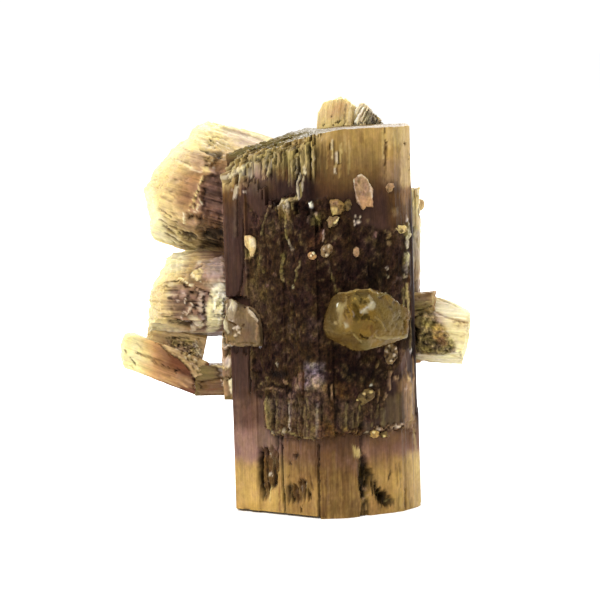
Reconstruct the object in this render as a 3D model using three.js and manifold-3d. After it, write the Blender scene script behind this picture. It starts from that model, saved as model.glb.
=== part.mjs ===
// Aragonite cluster: a stout pseudo-hexagonal twin standing on its flat end, with smaller crystals grown through its sides, top and back.
// Millimetres, +Z up, front towards -Y. The origin is the centre of the flat end that the cluster stands on.
// Every crystal is a bundle of parallel columns. A column is cut from its crystal's outline by a box, and has its own two ends.
import * as THREE from "three";
import { mergeVertices } from "three/addons/utils/BufferGeometryUtils.js";
import { ConvexGeometry } from "three/addons/geometries/ConvexGeometry.js";
import Module from "manifold-3d";

// ---- Driving dimensions of the main crystal ----
const MAIN_HEIGHT = 45.4; // its highest columns, at the right
const FLAT = 60; // half a side of the sheet that outlines are cut from
const LAP = 0.04; // neighbouring columns reach this far into each other
const COLOUR = 0x8a7250;

// The twin's side faces: [facing angle in degrees, distance from the axis].
const MAIN_FACES = [
  [-127, 10.3],
  [-90, 12.05],
  [-63, 11.7],
  [-32, 12.0],
  [0, 10.8],
  [60, 11.3],
  [90, 12.2],
  [123, 11.0],
  [180, 10.8],
];

// Where the twin's columns part, across the front and from front to back.
const MAIN_X = [-13, -10.3, -9.2, -7.6, -5.7, -4.2, -2.6, 1.2, 3.7, 8.9, 13];
const MAIN_Y = [-13.5, -5.5, 0, 5.5, 13.5];
// How far each column ends below MAIN_HEIGHT. Rows run from front to back: the left corner is broken away.
const MAIN_DROP = [
  [5.6, 4.2, 3.6, 2.4, 1.9, 1.5, 1.0, 0.6, 0.2, 0],
  [4.3, 3.0, 2.5, 1.7, 1.3, 1.1, 0.6, 0.5, 0.3, 0.1],
  [3.9, 3.2, 2.6, 2.0, 1.5, 1.0, 0.9, 0.7, 0.6, 0.4],
  [4.5, 3.6, 3.1, 2.3, 1.9, 1.6, 1.3, 1.1, 0.9, 0.8],
];
const LEFT_FOOT = 0.3; // the columns left of the nose end this far above the base

// Parallel overgrowth on the front: { x: [from, to], out: how far it stands proud, z: [bottom, top] }.
const FRONT_GROWTH = [
  { x: [-13, -8.4], out: 0.6, z: [25.6, 39.6] },
  { x: [-8.4, -7.0], out: 0.4, z: [17.0, 39.4] },
  { x: [-7.0, -6.0], out: 0.8, z: [10.2, 38.0] },
  { x: [-6.0, -4.2], out: 1.0, z: [9.5, 36.6] },
  { x: [-4.2, -2.6], out: 0.7, z: [9.4, 37.6] },
  { x: [-2.6, -0.6], out: 1.1, z: [9.4, 36.0] },
  { x: [-0.6, 0.9], out: 0.75, z: [9.5, 34.2] },
  { x: [0.9, 3.2], out: 0.5, z: [10.1, 38.8] },
  { x: [3.2, 5.2], out: 0.7, z: [9.9, 38.4] },
  { x: [5.2, 8.3], out: 0.55, z: [10.1, 37.8] },
  { x: [8.3, 10.4], out: 0.3, z: [10.4, 44.6] },
];
// Frayed ridges under the broken corner.
const FRONT_RIDGES = [
  { x: [-8.3, -6.7], out: 0.55, z: [36, 42.2] },
  { x: [-6.4, -6.1], out: 0.75, z: [38.5, 42.0] },
  { x: [-5.8, -5.4], out: 0.7, z: [37.5, 42.6] },
  { x: [-4.9, -4.6], out: 0.5, z: [39, 43.2] },
  { x: [-4.1, -3.3], out: 0.8, z: [36, 43.6] },
  { x: [-2.9, -2.7], out: 0.6, z: [38.8, 43.8] },
  { x: [-2.4, -1.6], out: 0.95, z: [35.5, 44.2] },
  { x: [-0.9, -0.5], out: 0.6, z: [40, 43.8] },
  { x: [1.3, 1.5], out: 0.3, z: [39.5, 43.4] },
  { x: [1.8, 2.1], out: 0.3, z: [38.8, 43.0] },
];
// Columns on the right and left sides, by their place from front to back.
const SIDE_GROWTH = [
  { side: 1, y: [1.2, 6.6], out: 1.15, z: [16.5, 37.4] },
  { side: 1, y: [-2.6, -0.4], out: 0.15, z: [7.5, 38.0] },
  { side: -1, y: [-4.4, 2.8], out: 1.3, z: [14.8, 20.6] },
  { side: -1, y: [-1.6, 1.4], out: 0.15, z: [3.5, 38.0] },
  { side: -1, y: [2.6, 5.4], out: 0.8, z: [9.0, 36.0] },
];
const BACK_COLUMNS = 9; // parallel columns across the back
const BACK_HALF = 9.4; // they spread this far either side of the middle
// Dark clefts in the lower front faces: { x, depth, z }.
const CLEFTS = [
  { x: [-8.35, -7.7], depth: 0.7, z: [2.2, 7.6] },
  { x: [-7.0, -6.2], depth: 0.6, z: [3.0, 7.4] },
  { x: [-5.75, -5.45], depth: 0.5, z: [0.4, 9.0] },
  { x: [-1.35, -1.1], depth: 0.4, z: [0, 9.0] },
  { x: [3.75, 4.6], depth: 0.6, z: [1.6, 7.4] },
  { x: [5.6, 6.9], depth: 0.5, z: [1.6, 3.2] },
];

// ---- Side crystals ----
// from: a point on the axis inside the cluster; tip: the axis at the free end; across: centre to corner; flat: depth over width;
// turn: degrees about the axis; cells: columns across the two directions; dome: how far the rim ends short of the middle;
// slant: how much shorter each millimetre above the axis is; ragged: how unevenly columns end.
const SIDE_CRYSTALS = [
  { name: "upper_left", from: [-3, 4, 34.1], tip: [-20.6, 3.4, 39.9], across: 7.5, flat: 0.95, turn: 30, cells: [8, 4], dome: 4.6, slant: 0.02, ragged: 1.5 },
  { name: "middle_left", from: [-3, 2.8, 25.2], tip: [-20.6, 1.6, 25.7], across: 5.3, flat: 1.0, turn: 30, cells: [7, 3], dome: 1.6, slant: 0.3, ragged: 1.2 },
  { name: "lower_left", from: [-8.4, 1.4, 12.4], tip: [-24.4, -0.6, 18.7], across: 2.45, flat: 1.0, turn: 0, cells: [3, 2], dome: 0.4, slant: 0.0, ragged: 0.5 },
  { name: "left_bridge", from: [-7, 0.6, 14.9], tip: [-16.2, 0.2, 15.3], across: 1.95, flat: 1.2, turn: 0, cells: [2, 2], dome: 0.2, slant: 0.0, ragged: 0.3 },
  { name: "left_filling", from: [-7, 3.2, 16.9], tip: [-19.8, 3.0, 20.1], across: 3.1, flat: 1.0, turn: 30, cells: [4, 3], dome: 0.5, slant: 0.0, ragged: 0.6 },
  { name: "right", from: [3, 2, 21.4], tip: [17.6, 1.0, 19.8], across: 3.9, flat: 1.0, turn: 30, cells: [5, 3], dome: 0.9, slant: 0.62, ragged: 0.4 },
  { name: "right_cap", from: [6, 1.5, 23.4], tip: [13.6, -0.2, 23.6], across: 1.9, flat: 1.1, turn: 0, cells: [2, 2], dome: 0.2, slant: 0.0, ragged: 0.4 },
  { name: "top_back", from: [1.5, 5.5, 34], tip: [3.4, 10.4, 48.5], across: 2.1, flat: 1.1, turn: 20, cells: [4, 2], dome: 2.2, slant: 0.0, ragged: 0.7 },
  { name: "top_wing", from: [1.6, 7.5, 38], tip: [1.4, 9.4, 45.8], across: 1.3, flat: 1.3, turn: 10, cells: [2, 1], dome: 0.5, slant: 0.0, ragged: 0.6 },
  { name: "top_striped", from: [2.2, 7, 37.5], tip: [6.3, 10.2, 46.1], across: 2.3, flat: 1.0, turn: 0, cells: [4, 2], dome: 1.0, slant: 0, ragged: 0.5 },
  { name: "back", from: [0.5, 3, 19.8], tip: [4.6, 18.6, 24.4], across: 5.6, flat: 0.92, turn: 12, cells: [6, 4], dome: 1.4, slant: 0.12, ragged: 1.1 },
  { name: "back_low", from: [-2, 4, 15], tip: [-7.4, 16.4, 9.6], across: 3.5, flat: 1.0, turn: 40, cells: [4, 3], dome: 0.7, slant: 0, ragged: 0.7 },
];
const SIDE_GROOVE = 0.045; // how much narrower a side crystal's columns may be, as a share of its width

// Small grains and flakes on the twin: { at, size: half sizes, lean: turn in degrees about the view direction, kind of seed }.
const GRAINS = [
  { at: [4.9, -11.6, 37.1], size: [1.25, 0.6, 2.2], lean: 12, seed: 3 },
  { at: [2.0, -12.6, 35.0], size: [1.25, 0.8, 0.95], lean: -20, seed: 5 },
  { at: [3.4, -12.3, 34.9], size: [0.8, 0.6, 0.7], lean: 10, seed: 9 },
  { at: [1.0, -12.7, 32.9], size: [0.75, 0.6, 0.7], lean: 0, seed: 11 },
  { at: [-8.4, -7.0, 30.9], size: [0.7, 0.5, 1.2], lean: 14, seed: 17 },
  { at: [-0.3, -12.9, 29.9], size: [0.75, 0.6, 0.95], lean: 20, seed: 21 },
  { at: [-1.6, -12.9, 29.2], size: [0.7, 0.5, 0.5], lean: 0, seed: 23 },
  { at: [3.7, -12.0, 29.4], size: [0.5, 0.5, 0.6], lean: 0, seed: 27 },
  { at: [8.8, -9.0, 33.0], size: [0.9, 0.6, 0.6], lean: 0, seed: 31 },
  { at: [7.9, -9.9, 16.8], size: [0.9, 0.6, 1.2], lean: -15, seed: 35 },
  { at: [5.0, -11.4, 12.9], size: [1.1, 0.5, 0.7], lean: 15, seed: 39 },
  { at: [12.2, 3.4, 35.2], size: [0.7, 0.7, 0.8], lean: 0, seed: 41 },
];
// The clear crystal on the front right, and the glassy plate on the front left corner, each by its corners.
const CLEAR_CRYSTAL = [
  [-0.2, -13.4, 22.4], [0.4, -12.6, 25.8], [0.7, -14.2, 25.0], [0.5, -14.5, 22.2], [1.9, -14.9, 26.2], [1.8, -15.3, 22.6],
  [5.3, -15.0, 26.9], [6.9, -14.4, 26.4], [5.2, -15.9, 24.6], [3.4, -15.6, 21.6], [8.4, -12.8, 24.8], [9.6, -11.4, 24.2],
  [9.9, -11.0, 21.2], [7.6, -13.3, 21.0], [4.6, -14.6, 19.9], [2.6, -14.1, 20.2], [0.6, -12.9, 21.0], [5.0, -9.5, 26.6],
  [2.0, -10.5, 25.8], [9.0, -7.5, 23.8], [9.2, -7.5, 21.4], [4.0, -10.0, 20.2], [0.5, -10.5, 22.0],
];
const GLASSY_PLATE = [
  [-11.5, -5.2, 25.2], [-10.2, -7.3, 25.3], [-9.2, -8.0, 24.6], [-8.0, -9.0, 23.5], [-7.5, -9.3, 22.2], [-7.5, -9.2, 20.4],
  [-8.2, -8.8, 20.0], [-11.6, -5.4, 20.0], [-11.5, -2.5, 25.2], [-11.6, -2.5, 20.0], [-7.0, -7.0, 24.0], [-7.0, -7.0, 20.0],
];
// The see-through gap between the left crystals, by its corners { x, z }, and the level that they end at below.
const GAP = [
  [-14.3, 20.9],
  [-13.0, 21.3],
  [-12.1, 17.8],
  [-12.15, 16.0],
  [-13.2, 16.1],
  [-14.7, 18.3],
];
const LEFT_UNDERSIDE = 13.3;

const radians = THREE.MathUtils.degToRad;

// A repeatable number from 0 to 1 for two whole numbers.
function chance(i, j) {
  const s = Math.sin(i * 12.9898 + j * 78.233) * 43758.5453;
  return s - Math.floor(s);
}

// Side faces as half planes { a, b, c }: points with a*x + b*y under c are inside.
function halfPlanes(faces, out = 0) {
  return faces.map(([angle, distance]) => ({
    a: Math.cos(radians(angle)),
    b: Math.sin(radians(angle)),
    c: distance + out,
  }));
}

function boxPlanes([x0, x1], [y0, y1]) {
  return [
    { a: -1, b: 0, c: LAP - x0 },
    { a: 1, b: 0, c: x1 + LAP },
    { a: 0, b: -1, c: LAP - y0 },
    { a: 0, b: 1, c: y1 + LAP },
  ];
}

// The part of a convex outline inside one half plane.
function clip(points, { a, b, c }) {
  const side = (p) => a * p.x + b * p.y - c;
  return points.flatMap((p, i) => {
    const q = points[(i + 1) % points.length];
    const kept = side(p) <= 0 ? [p] : [];
    if (side(p) * side(q) < 0)
      kept.push(p.clone().lerp(q, side(p) / (side(p) - side(q))));
    return kept;
  });
}

function outline(planes) {
  const sheet = [[-FLAT, -FLAT], [FLAT, -FLAT], [FLAT, FLAT], [-FLAT, FLAT]];
  return planes.reduce(clip, sheet.map(([x, y]) => new THREE.Vector2(x, y)));
}

const wasm = await Module();
wasm.setup();

function solid(geometry) {
  const bare = geometry.index ? geometry.toNonIndexed() : geometry.clone();
  bare.deleteAttribute("normal");
  bare.deleteAttribute("uv");
  const merged = mergeVertices(bare, 1e-4);
  return new wasm.Manifold(
    new wasm.Mesh({
      numProp: 3,
      vertProperties: merged.attributes.position.array,
      triVerts: new Uint32Array(merged.index.array),
    }),
  );
}

const join = (solids) => solids.reduce((all, one) => all.add(one));

// A straight column from z0 to z1 over the outline that some half planes leave, or null where they leave none.
function column(planes, [z0, z1]) {
  const points = outline(planes);
  if (points.length < 3 || Math.abs(THREE.ShapeUtils.area(points)) < 0.02) return null;
  const geometry = new THREE.ExtrudeGeometry(new THREE.Shape(points), {
    depth: z1 - z0,
    bevelEnabled: false,
  });
  return geometry.translate(0, 0, z0);
}

// Matrix of a crystal whose +Z runs from one point to another, with +X as near to straight up as that allows.
function alongAxis(from, tip) {
  const origin = new THREE.Vector3(...from);
  const w = new THREE.Vector3(...tip).sub(origin).normalize();
  const up = new THREE.Vector3(0, 0, 1);
  const u = up.addScaledVector(w, -up.dot(w)).normalize();
  const v = new THREE.Vector3().crossVectors(w, u);
  return new THREE.Matrix4().makeBasis(u, v, w).setPosition(origin);
}

function mainCrystal() {
  const parts = [];
  MAIN_DROP.forEach((row, j) =>
    row.forEach((drop, i) => {
      const box = boxPlanes([MAIN_X[i], MAIN_X[i + 1]], [MAIN_Y[j], MAIN_Y[j + 1]]);
      const foot = MAIN_X[i + 1] < 0 && j === 0 ? LEFT_FOOT : 0;
      parts.push(column([...halfPlanes(MAIN_FACES), ...box], [foot, MAIN_HEIGHT - drop]));
    }),
  );
  for (const { x, out, z } of [...FRONT_GROWTH, ...FRONT_RIDGES])
    parts.push(column([...halfPlanes(MAIN_FACES, out), ...boxPlanes(x, [-FLAT, -3.4])], z));
  for (const { side, y, out, z } of SIDE_GROWTH) {
    const x = side > 0 ? [7, FLAT] : [-FLAT, -7];
    parts.push(column([...halfPlanes(MAIN_FACES, out), ...boxPlanes(x, y)], z));
  }
  for (let i = 0; i < BACK_COLUMNS; i++) {
    const width = (2 * BACK_HALF) / BACK_COLUMNS;
    const x = -BACK_HALF + i * width;
    const out = 0.2 + 0.9 * chance(i, 1);
    const z = [5 + 9 * chance(i, 2), 33 + 10 * chance(i, 3)];
    parts.push(column([...halfPlanes(MAIN_FACES, out), ...boxPlanes([x, x + width], [4.5, FLAT])], z));
  }
  const whole = join(parts.filter(Boolean).map(solid));
  const cuts = CLEFTS.map(({ x, depth, z }) =>
    solid(column([...boxPlanes(x, [-FLAT, 0])], [z[0] - LAP, z[1]])).subtract(
      solid(column(halfPlanes(MAIN_FACES, -depth), [-1, MAIN_HEIGHT])),
    ),
  );
  return cuts.reduce((left, cut) => left.subtract(cut), whole);
}

function sideCrystal({ from, tip, across, flat, turn, cells, dome, slant, ragged }, seed) {
  const length = new THREE.Vector3(...from).distanceTo(new THREE.Vector3(...tip));
  const apothem = across * Math.cos(radians(30));
  const [rows, layers] = cells;
  const parts = [];
  for (let i = 0; i < rows; i++)
    for (let j = 0; j < layers; j++) {
      const u = [-across + (2 * across * i) / rows, -across + (2 * across * (i + 1)) / rows];
      const v = [-across + (2 * across * j) / layers, -across + (2 * across * (j + 1)) / layers];
      const middle = new THREE.Vector2((u[0] + u[1]) / 2, (v[0] + v[1]) / 2);
      const rim = Math.min(1, middle.length() / across);
      const end = length - dome * rim * rim - slant * Math.max(0, middle.x) - ragged * chance(seed + i, j);
      const narrower = 1 - SIDE_GROOVE * chance(i, seed + j);
      const faces = [0, 60, 120, 180, 240, 300].map((a) => [a + turn, apothem * narrower]);
      const made = column([...halfPlanes(faces), ...boxPlanes(u, v)], [0, end]);
      if (made) parts.push(solid(made.scale(1, flat, 1).applyMatrix4(alongAxis(from, tip))));
    }
  return join(parts);
}

// A small angular grain: the convex hull of points scattered on an ellipsoid.
function grain({ at, size, lean, seed }) {
  const points = [];
  for (let i = 0; i < 14; i++) {
    const height = 1 - (2 * (i + 0.5)) / 14;
    const round = Math.sqrt(1 - height * height);
    const angle = i * 2.4 + chance(seed, i);
    const far = 0.85 + 0.3 * chance(i, seed);
    points.push(
      new THREE.Vector3(round * Math.cos(angle) * size[0], round * Math.sin(angle) * size[1], height * size[2])
        .multiplyScalar(far)
        .applyAxisAngle(new THREE.Vector3(0, 1, 0), radians(lean))
        .add(new THREE.Vector3(...at)),
    );
  }
  return solid(new ConvexGeometry(points));
}

const hull = (corners) => solid(new ConvexGeometry(corners.map((c) => new THREE.Vector3(...c))));

// The straight slot that leaves the gap open from front to back.
function gapCutter() {
  const shape = new THREE.Shape(GAP.map(([x, z]) => new THREE.Vector2(x, z)));
  const slot = new THREE.ExtrudeGeometry(shape, { depth: FLAT, bevelEnabled: false });
  return solid(slot.rotateX(Math.PI / 2).translate(0, FLAT / 2, 0));
}

function undersideCutter() {
  const block = new THREE.BoxGeometry(FLAT, FLAT, LEFT_UNDERSIDE);
  return solid(block.translate(-10 - FLAT / 2, 0, LEFT_UNDERSIDE / 2));
}

function cluster() {
  const crystals = SIDE_CRYSTALS.map((spec, i) => sideCrystal(spec, 7 * i + 1));
  const isLeft = (_, i) => SIDE_CRYSTALS[i].name.includes("left");
  const left = join(crystals.filter(isLeft)).subtract(gapCutter()).subtract(undersideCutter());
  const rest = crystals.filter((one, i) => !isLeft(one, i));
  const small = [...GRAINS.map(grain), hull(CLEAR_CRYSTAL), hull(GLASSY_PLATE)];
  return join([mainCrystal(), left, ...rest, ...small]);
}

function geometryOf(made) {
  const mesh = made.getMesh();
  return new THREE.BufferGeometry()
    .setAttribute("position", new THREE.BufferAttribute(new Float32Array(mesh.vertProperties), 3))
    .setIndex(new THREE.BufferAttribute(new Uint32Array(mesh.triVerts), 1));
}

const aragonite = new THREE.Mesh(
  geometryOf(cluster()),
  new THREE.MeshStandardMaterial({ color: COLOUR, roughness: 0.45, metalness: 0 }),
);
aragonite.name = "aragonite_cluster";

const part = new THREE.Group();
part.add(aragonite);
export default part;
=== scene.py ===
"""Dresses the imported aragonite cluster: striated crystals, frayed tips, crust, clefts,
flakes and one clear crystal.

Shapes are made in millimetres in the CAD frame and scaled to metres when a mesh is written.
"""
import math

import bmesh
import bpy
import numpy as np
from mathutils import Matrix, Vector
from mathutils.bvhtree import BVHTree


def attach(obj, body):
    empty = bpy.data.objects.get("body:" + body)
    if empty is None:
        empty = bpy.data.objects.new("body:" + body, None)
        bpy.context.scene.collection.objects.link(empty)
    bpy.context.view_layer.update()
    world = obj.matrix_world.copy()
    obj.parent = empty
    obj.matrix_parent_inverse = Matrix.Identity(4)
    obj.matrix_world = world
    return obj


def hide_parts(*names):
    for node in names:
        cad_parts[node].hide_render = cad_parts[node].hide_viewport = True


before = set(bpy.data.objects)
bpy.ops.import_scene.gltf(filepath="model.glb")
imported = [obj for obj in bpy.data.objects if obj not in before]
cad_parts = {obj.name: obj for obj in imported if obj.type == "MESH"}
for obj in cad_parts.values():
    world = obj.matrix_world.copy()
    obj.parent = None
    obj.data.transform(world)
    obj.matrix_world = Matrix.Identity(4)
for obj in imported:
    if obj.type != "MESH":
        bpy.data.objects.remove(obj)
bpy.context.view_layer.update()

MM = 0.001

# ---- The view of the photograph ----
PICTURE = 600  # its width and height in pixels
ELEVATION = math.radians(6.0)
ROLL = math.radians(1.8)
DISTANCE = 330.0
LENS = 165.0
SENSOR = 36.0
TARGET = np.array([-2.66, 0.0, 24.5])  # what the picture's middle shows

BACK = np.array([0.0, -math.cos(ELEVATION), math.sin(ELEVATION)])
EYE = TARGET + BACK * DISTANCE
_right = np.array([1.0, 0.0, 0.0])
_up = np.cross(BACK, _right)
UP = _up * math.cos(ROLL) + _right * math.sin(ROLL)
RIGHT = _right * math.cos(ROLL) - _up * math.sin(ROLL)
FOCAL = LENS / SENSOR * PICTURE


def to_picture(points):
    """Where points (mm) are seen in the photograph, in its pixels."""
    v = points - EYE
    depth = v @ -BACK
    across = PICTURE / 2 + FOCAL * (v @ RIGHT) / depth
    down = PICTURE / 2 - FOCAL * (v @ UP) / depth
    return np.stack([across, down], axis=-1)


def sight(u, v):
    """The direction in which a place in the photograph lies from the eye."""
    return -BACK + RIGHT * (u - PICTURE / 2) / FOCAL - UP * (v - PICTURE / 2) / FOCAL


# ---- Numbers, noise and masks ----
HASH_FACTORS = (73856093, 19349663, 83492791, 26544357)
HASH_MIXERS = (12741261, 20245921)
FAR = 1e9


def smooth(low, high, x):
    """0 up to low, 1 from high on, with a soft step between; or the other way round."""
    t = np.clip((x - low) / (high - low), 0.0, 1.0)
    return t * t * (3 - 2 * t)


def hashed(i, j, k, seed):
    """A repeatable number from 0 to 1 for whole numbers i, j and k."""
    a, b, c, d = HASH_FACTORS
    h = (i * a) ^ (j * b) ^ (k * c) ^ (seed * d)
    h = ((h ^ (h >> 13)) * HASH_MIXERS[0]) & 0xFFFFFFFF
    h = ((h ^ (h >> 15)) * HASH_MIXERS[1]) & 0xFFFFFFFF
    return ((h ^ (h >> 16)) & 0xFFFFFF) / float(0xFFFFFF)


def noise(p, size, seed):
    """Smooth noise from -1 to 1, with lumps of the given size."""
    q = p / np.asarray(size, float)
    base = np.floor(q).astype(np.int64)
    f = q - base
    f = f * f * (3 - 2 * f)
    total = np.zeros(len(p))
    for corner in range(8):
        d = np.array([corner & 1, corner >> 1 & 1, corner >> 2])
        w = np.prod(np.where(d, f, 1 - f), axis=1)
        c = base + d
        total += w * hashed(c[:, 0], c[:, 1], c[:, 2], seed)
    return total * 2 - 1


def scatter(p, size, *seeds):
    """One noise for each seed, side by side."""
    return np.stack([noise(p, size, seed) for seed in seeds], axis=1)


FINER = 2.03  # how much finer each layer of a fractal is
NEXT_SEED = 17


def fractal(p, size, octaves, seed, gain=0.55):
    """Noise with ever finer noise on it."""
    total, weight = np.zeros(len(p)), 0.0
    for k in range(octaves):
        amount = gain ** k
        total += amount * noise(p * FINER ** k, size, seed + NEXT_SEED * k)
        weight += amount
    return total / weight


def cells(p, size, seed):
    """For scattered cells: the distance to the nearest centre, and that cell's number from 0 to 1."""
    q = p / np.asarray(size, float)
    base = np.floor(q).astype(np.int64)
    near = np.full(len(p), FAR)
    own = np.zeros(len(p))
    flat = np.ptp(q, axis=0) < 1e-9
    spans = [(0,) if flat[a] else (-1, 0, 1) for a in range(3)]
    for dx in spans[0]:
        for dy in spans[1]:
            for dz in spans[2]:
                c = base + np.array([dx, dy, dz])
                at = np.stack([hashed(c[:, 0], c[:, 1], c[:, 2], seed + s) for s in (1, 2, 3)], axis=1)
                at[:, flat] = 0.5
                delta = c + at - q
                delta[:, flat] = 0
                d = np.sqrt((delta ** 2).sum(axis=1))
                closer = d < near
                own = np.where(closer, hashed(c[:, 0], c[:, 1], c[:, 2], seed + 4), own)
                near = np.where(closer, d, near)
    return near, own


def plain(x, y):
    """Places across a crystal as points, all at one height, so that noise makes straight fibres."""
    return np.stack([x, y, np.zeros_like(x)], axis=1)


def fibre_of(x, y, width, depth, seed):
    """The number from 0 to 1 of the straight fibre that each place across a crystal is in."""
    return cells(plain(x, y), (width, depth, 1), seed)[1]


def segment_distance(uv, a, b):
    """How far places in the picture are from a segment."""
    a, b = np.asarray(a, float), np.asarray(b, float)
    e = b - a
    w = uv - a
    t = np.clip((w @ e) / (e @ e + 1e-9), 0, 1)
    return np.hypot(*(w - t[:, None] * e).T)


def line_distance(uv, line):
    """How far places in the picture are from a line."""
    best = np.full(len(uv), FAR)
    for a, b in zip(line, line[1:]):
        best = np.minimum(best, segment_distance(uv, a, b))
    return best


def region(uv, polygon, soft):
    """1 inside a polygon of the picture, 0 outside, over an edge of the given width."""
    closed = polygon + polygon[:1]
    best = line_distance(uv, closed)
    inside = np.zeros(len(uv), bool)
    u, v = uv.T
    for (x0, y0), (x1, y1) in zip(closed, closed[1:]):
        if y0 != y1:
            inside ^= ((y0 > v) != (y1 > v)) & (u < (x1 - x0) * (v - y0) / (y1 - y0) + x0)
    return smooth(-soft, soft, np.where(inside, best, -best))


def stroke(uv, line, width):
    """1 along a line of the picture, fading to 0 at half its width."""
    return 1 - smooth(width * 0.25, width * 0.6, line_distance(uv, line))


def blur(grid, reach):
    """A box blur of a grid whose columns wrap round, over some rows and columns either way."""
    def once(g, n, axis):
        mode = "wrap" if axis == 1 else "edge"
        pad = [(n, n) if a == axis else (0, 0) for a in (0, 1)]
        total = np.cumsum(np.pad(g, pad, mode=mode), axis=axis)
        zero = np.zeros_like(np.take(total, [0], axis=axis))
        total = np.concatenate([zero, total], axis=axis)
        size = g.shape[axis]
        upper = np.take(total, range(2 * n + 1, size + 2 * n + 1), axis=axis)
        return (upper - np.take(total, range(size), axis=axis)) / (2 * n + 1)
    return once(once(grid, reach, 0), reach, 1)


# ---- Colours, as seen in the photograph ----
LIGHT = 1.55  # how bright a white surface facing the camera comes out
SHEEN = 0.0055  # what the surface's own faint reflection adds


def tone(r, g, b):
    """An albedo that comes out as this picture colour under the scene's light."""
    linear = np.array([c / 255 / 12.92 if c <= 10 else ((c / 255 + 0.055) / 1.055) ** 2.4 for c in (r, g, b)])
    return np.clip((linear - SHEEN) / LIGHT, 0.0008, 0.92)


PALETTE = {name: tone(*colour) for name, colour in dict(
    white=(255, 250, 235), cream=(245, 232, 190), yellow=(246, 232, 165), straw=(215, 190, 125),
    honey=(185, 150, 88), amber=(147, 118, 68), brown=(110, 78, 44), umber=(84, 58, 36),
    plum=(78, 56, 46), dusk=(56, 40, 34), night=(30, 20, 16), lichen=(98, 80, 54), mauve=(150, 115, 98),
    pink=(188, 160, 140), tan=(180, 140, 98), rust=(125, 82, 56), olive=(112, 92, 58),
    moss=(72, 56, 38), crust=(58, 43, 29), dark=(38, 28, 22), black=(16, 11, 9), bone=(205, 190, 160),
    flesh=(165, 132, 98), glow=(252, 240, 186), taupe=(124, 102, 74), flake=(162, 130, 98),
    lumpy=(136, 112, 78), butter=(238, 215, 151), sand=(220, 190, 134), orange=(210, 162, 108),
    brick=(118, 74, 54), lilac=(176, 162, 156), grape=(62, 45, 46), resin=(166, 129, 62),
    corn=(200, 163, 95), gold=(186, 146, 76), tawny=(138, 102, 58), khaki=(150, 134, 84),
    ash=(98, 80, 66), rose=(134, 94, 74), blush=(224, 204, 176),
).items()}


def mix(a, b, t):
    """From a, where t is 0, to b, where t is 1."""
    t = np.asarray(t)[..., None] if np.ndim(t) else t
    return a * (1 - t) + b * t


def paint(tint, colour, amount):
    return mix(tint, PALETTE[colour], amount)


def painted_all(points, colour):
    """The same colour at every point."""
    return np.tile(PALETTE[colour], (len(points), 1))


# ---- Crystals: a rim swept along an axis, displaced by growth, crust and what the photograph shows ----
FRONT = 0.25  # a side whose outward direction has less than this along local Y counts as the front
PAIR = 0.03  # half the distance between the two points at a split, mm
CORNER = 0.9  # how far from a corner its normals turn, mm
FOOT_RINGS = 3


def rim_points(polygon, fine, coarse, splits, finest):
    """Points round a polygon (local x, y), finer at the front, with close pairs where a split
    crosses it; and their outward normals.

    finest is (x, share): left of x, the front's step is that share of fine.
    """
    polygon = np.asarray(polygon, float)
    points, normals = [], []
    following = np.roll(polygon, -1, axis=0)
    edges = following - polygon
    outward = np.stack([edges[:, 1], -edges[:, 0]], axis=1)
    outward /= np.linalg.norm(outward, axis=1)[:, None]
    for i, (a, b) in enumerate(zip(polygon, following)):
        length = np.linalg.norm(b - a)
        at_front = outward[i, 1] < FRONT
        step = fine if at_front else coarse
        n = max(2, int(round(length / step)))
        stops = set(np.arange(n) / n)
        if finest and at_front:
            along, stops = 0.0, set()
            while along < length - 0.4 * step:
                stops.add(along / length)
                here = a[0] + (b[0] - a[0]) * along / length
                along += step * (finest[1] if here < finest[0] else 1)
        if at_front and abs(b[0] - a[0]) > 1e-6:
            for x in splits:
                t = (x - a[0]) / (b[0] - a[0])
                half = PAIR / length
                if half < t < 1 - half:
                    stops = {s for s in stops if abs(s - t) > 2.2 * half} | {t - half, t + half}
        for t in sorted(stops):
            points.append(a + (b - a) * t)
            near_a = max(0, 1 - t * length / CORNER)
            near_b = max(0, 1 - (1 - t) * length / CORNER)
            before = outward[i - 1] * near_a * 0.5
            after = outward[(i + 1) % len(polygon)] * near_b * 0.5
            turned = before + after + outward[i] * (1 - 0.5 * near_a - 0.5 * near_b)
            normals.append(turned / np.linalg.norm(turned))
    return np.array(points), np.array(normals)


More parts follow.
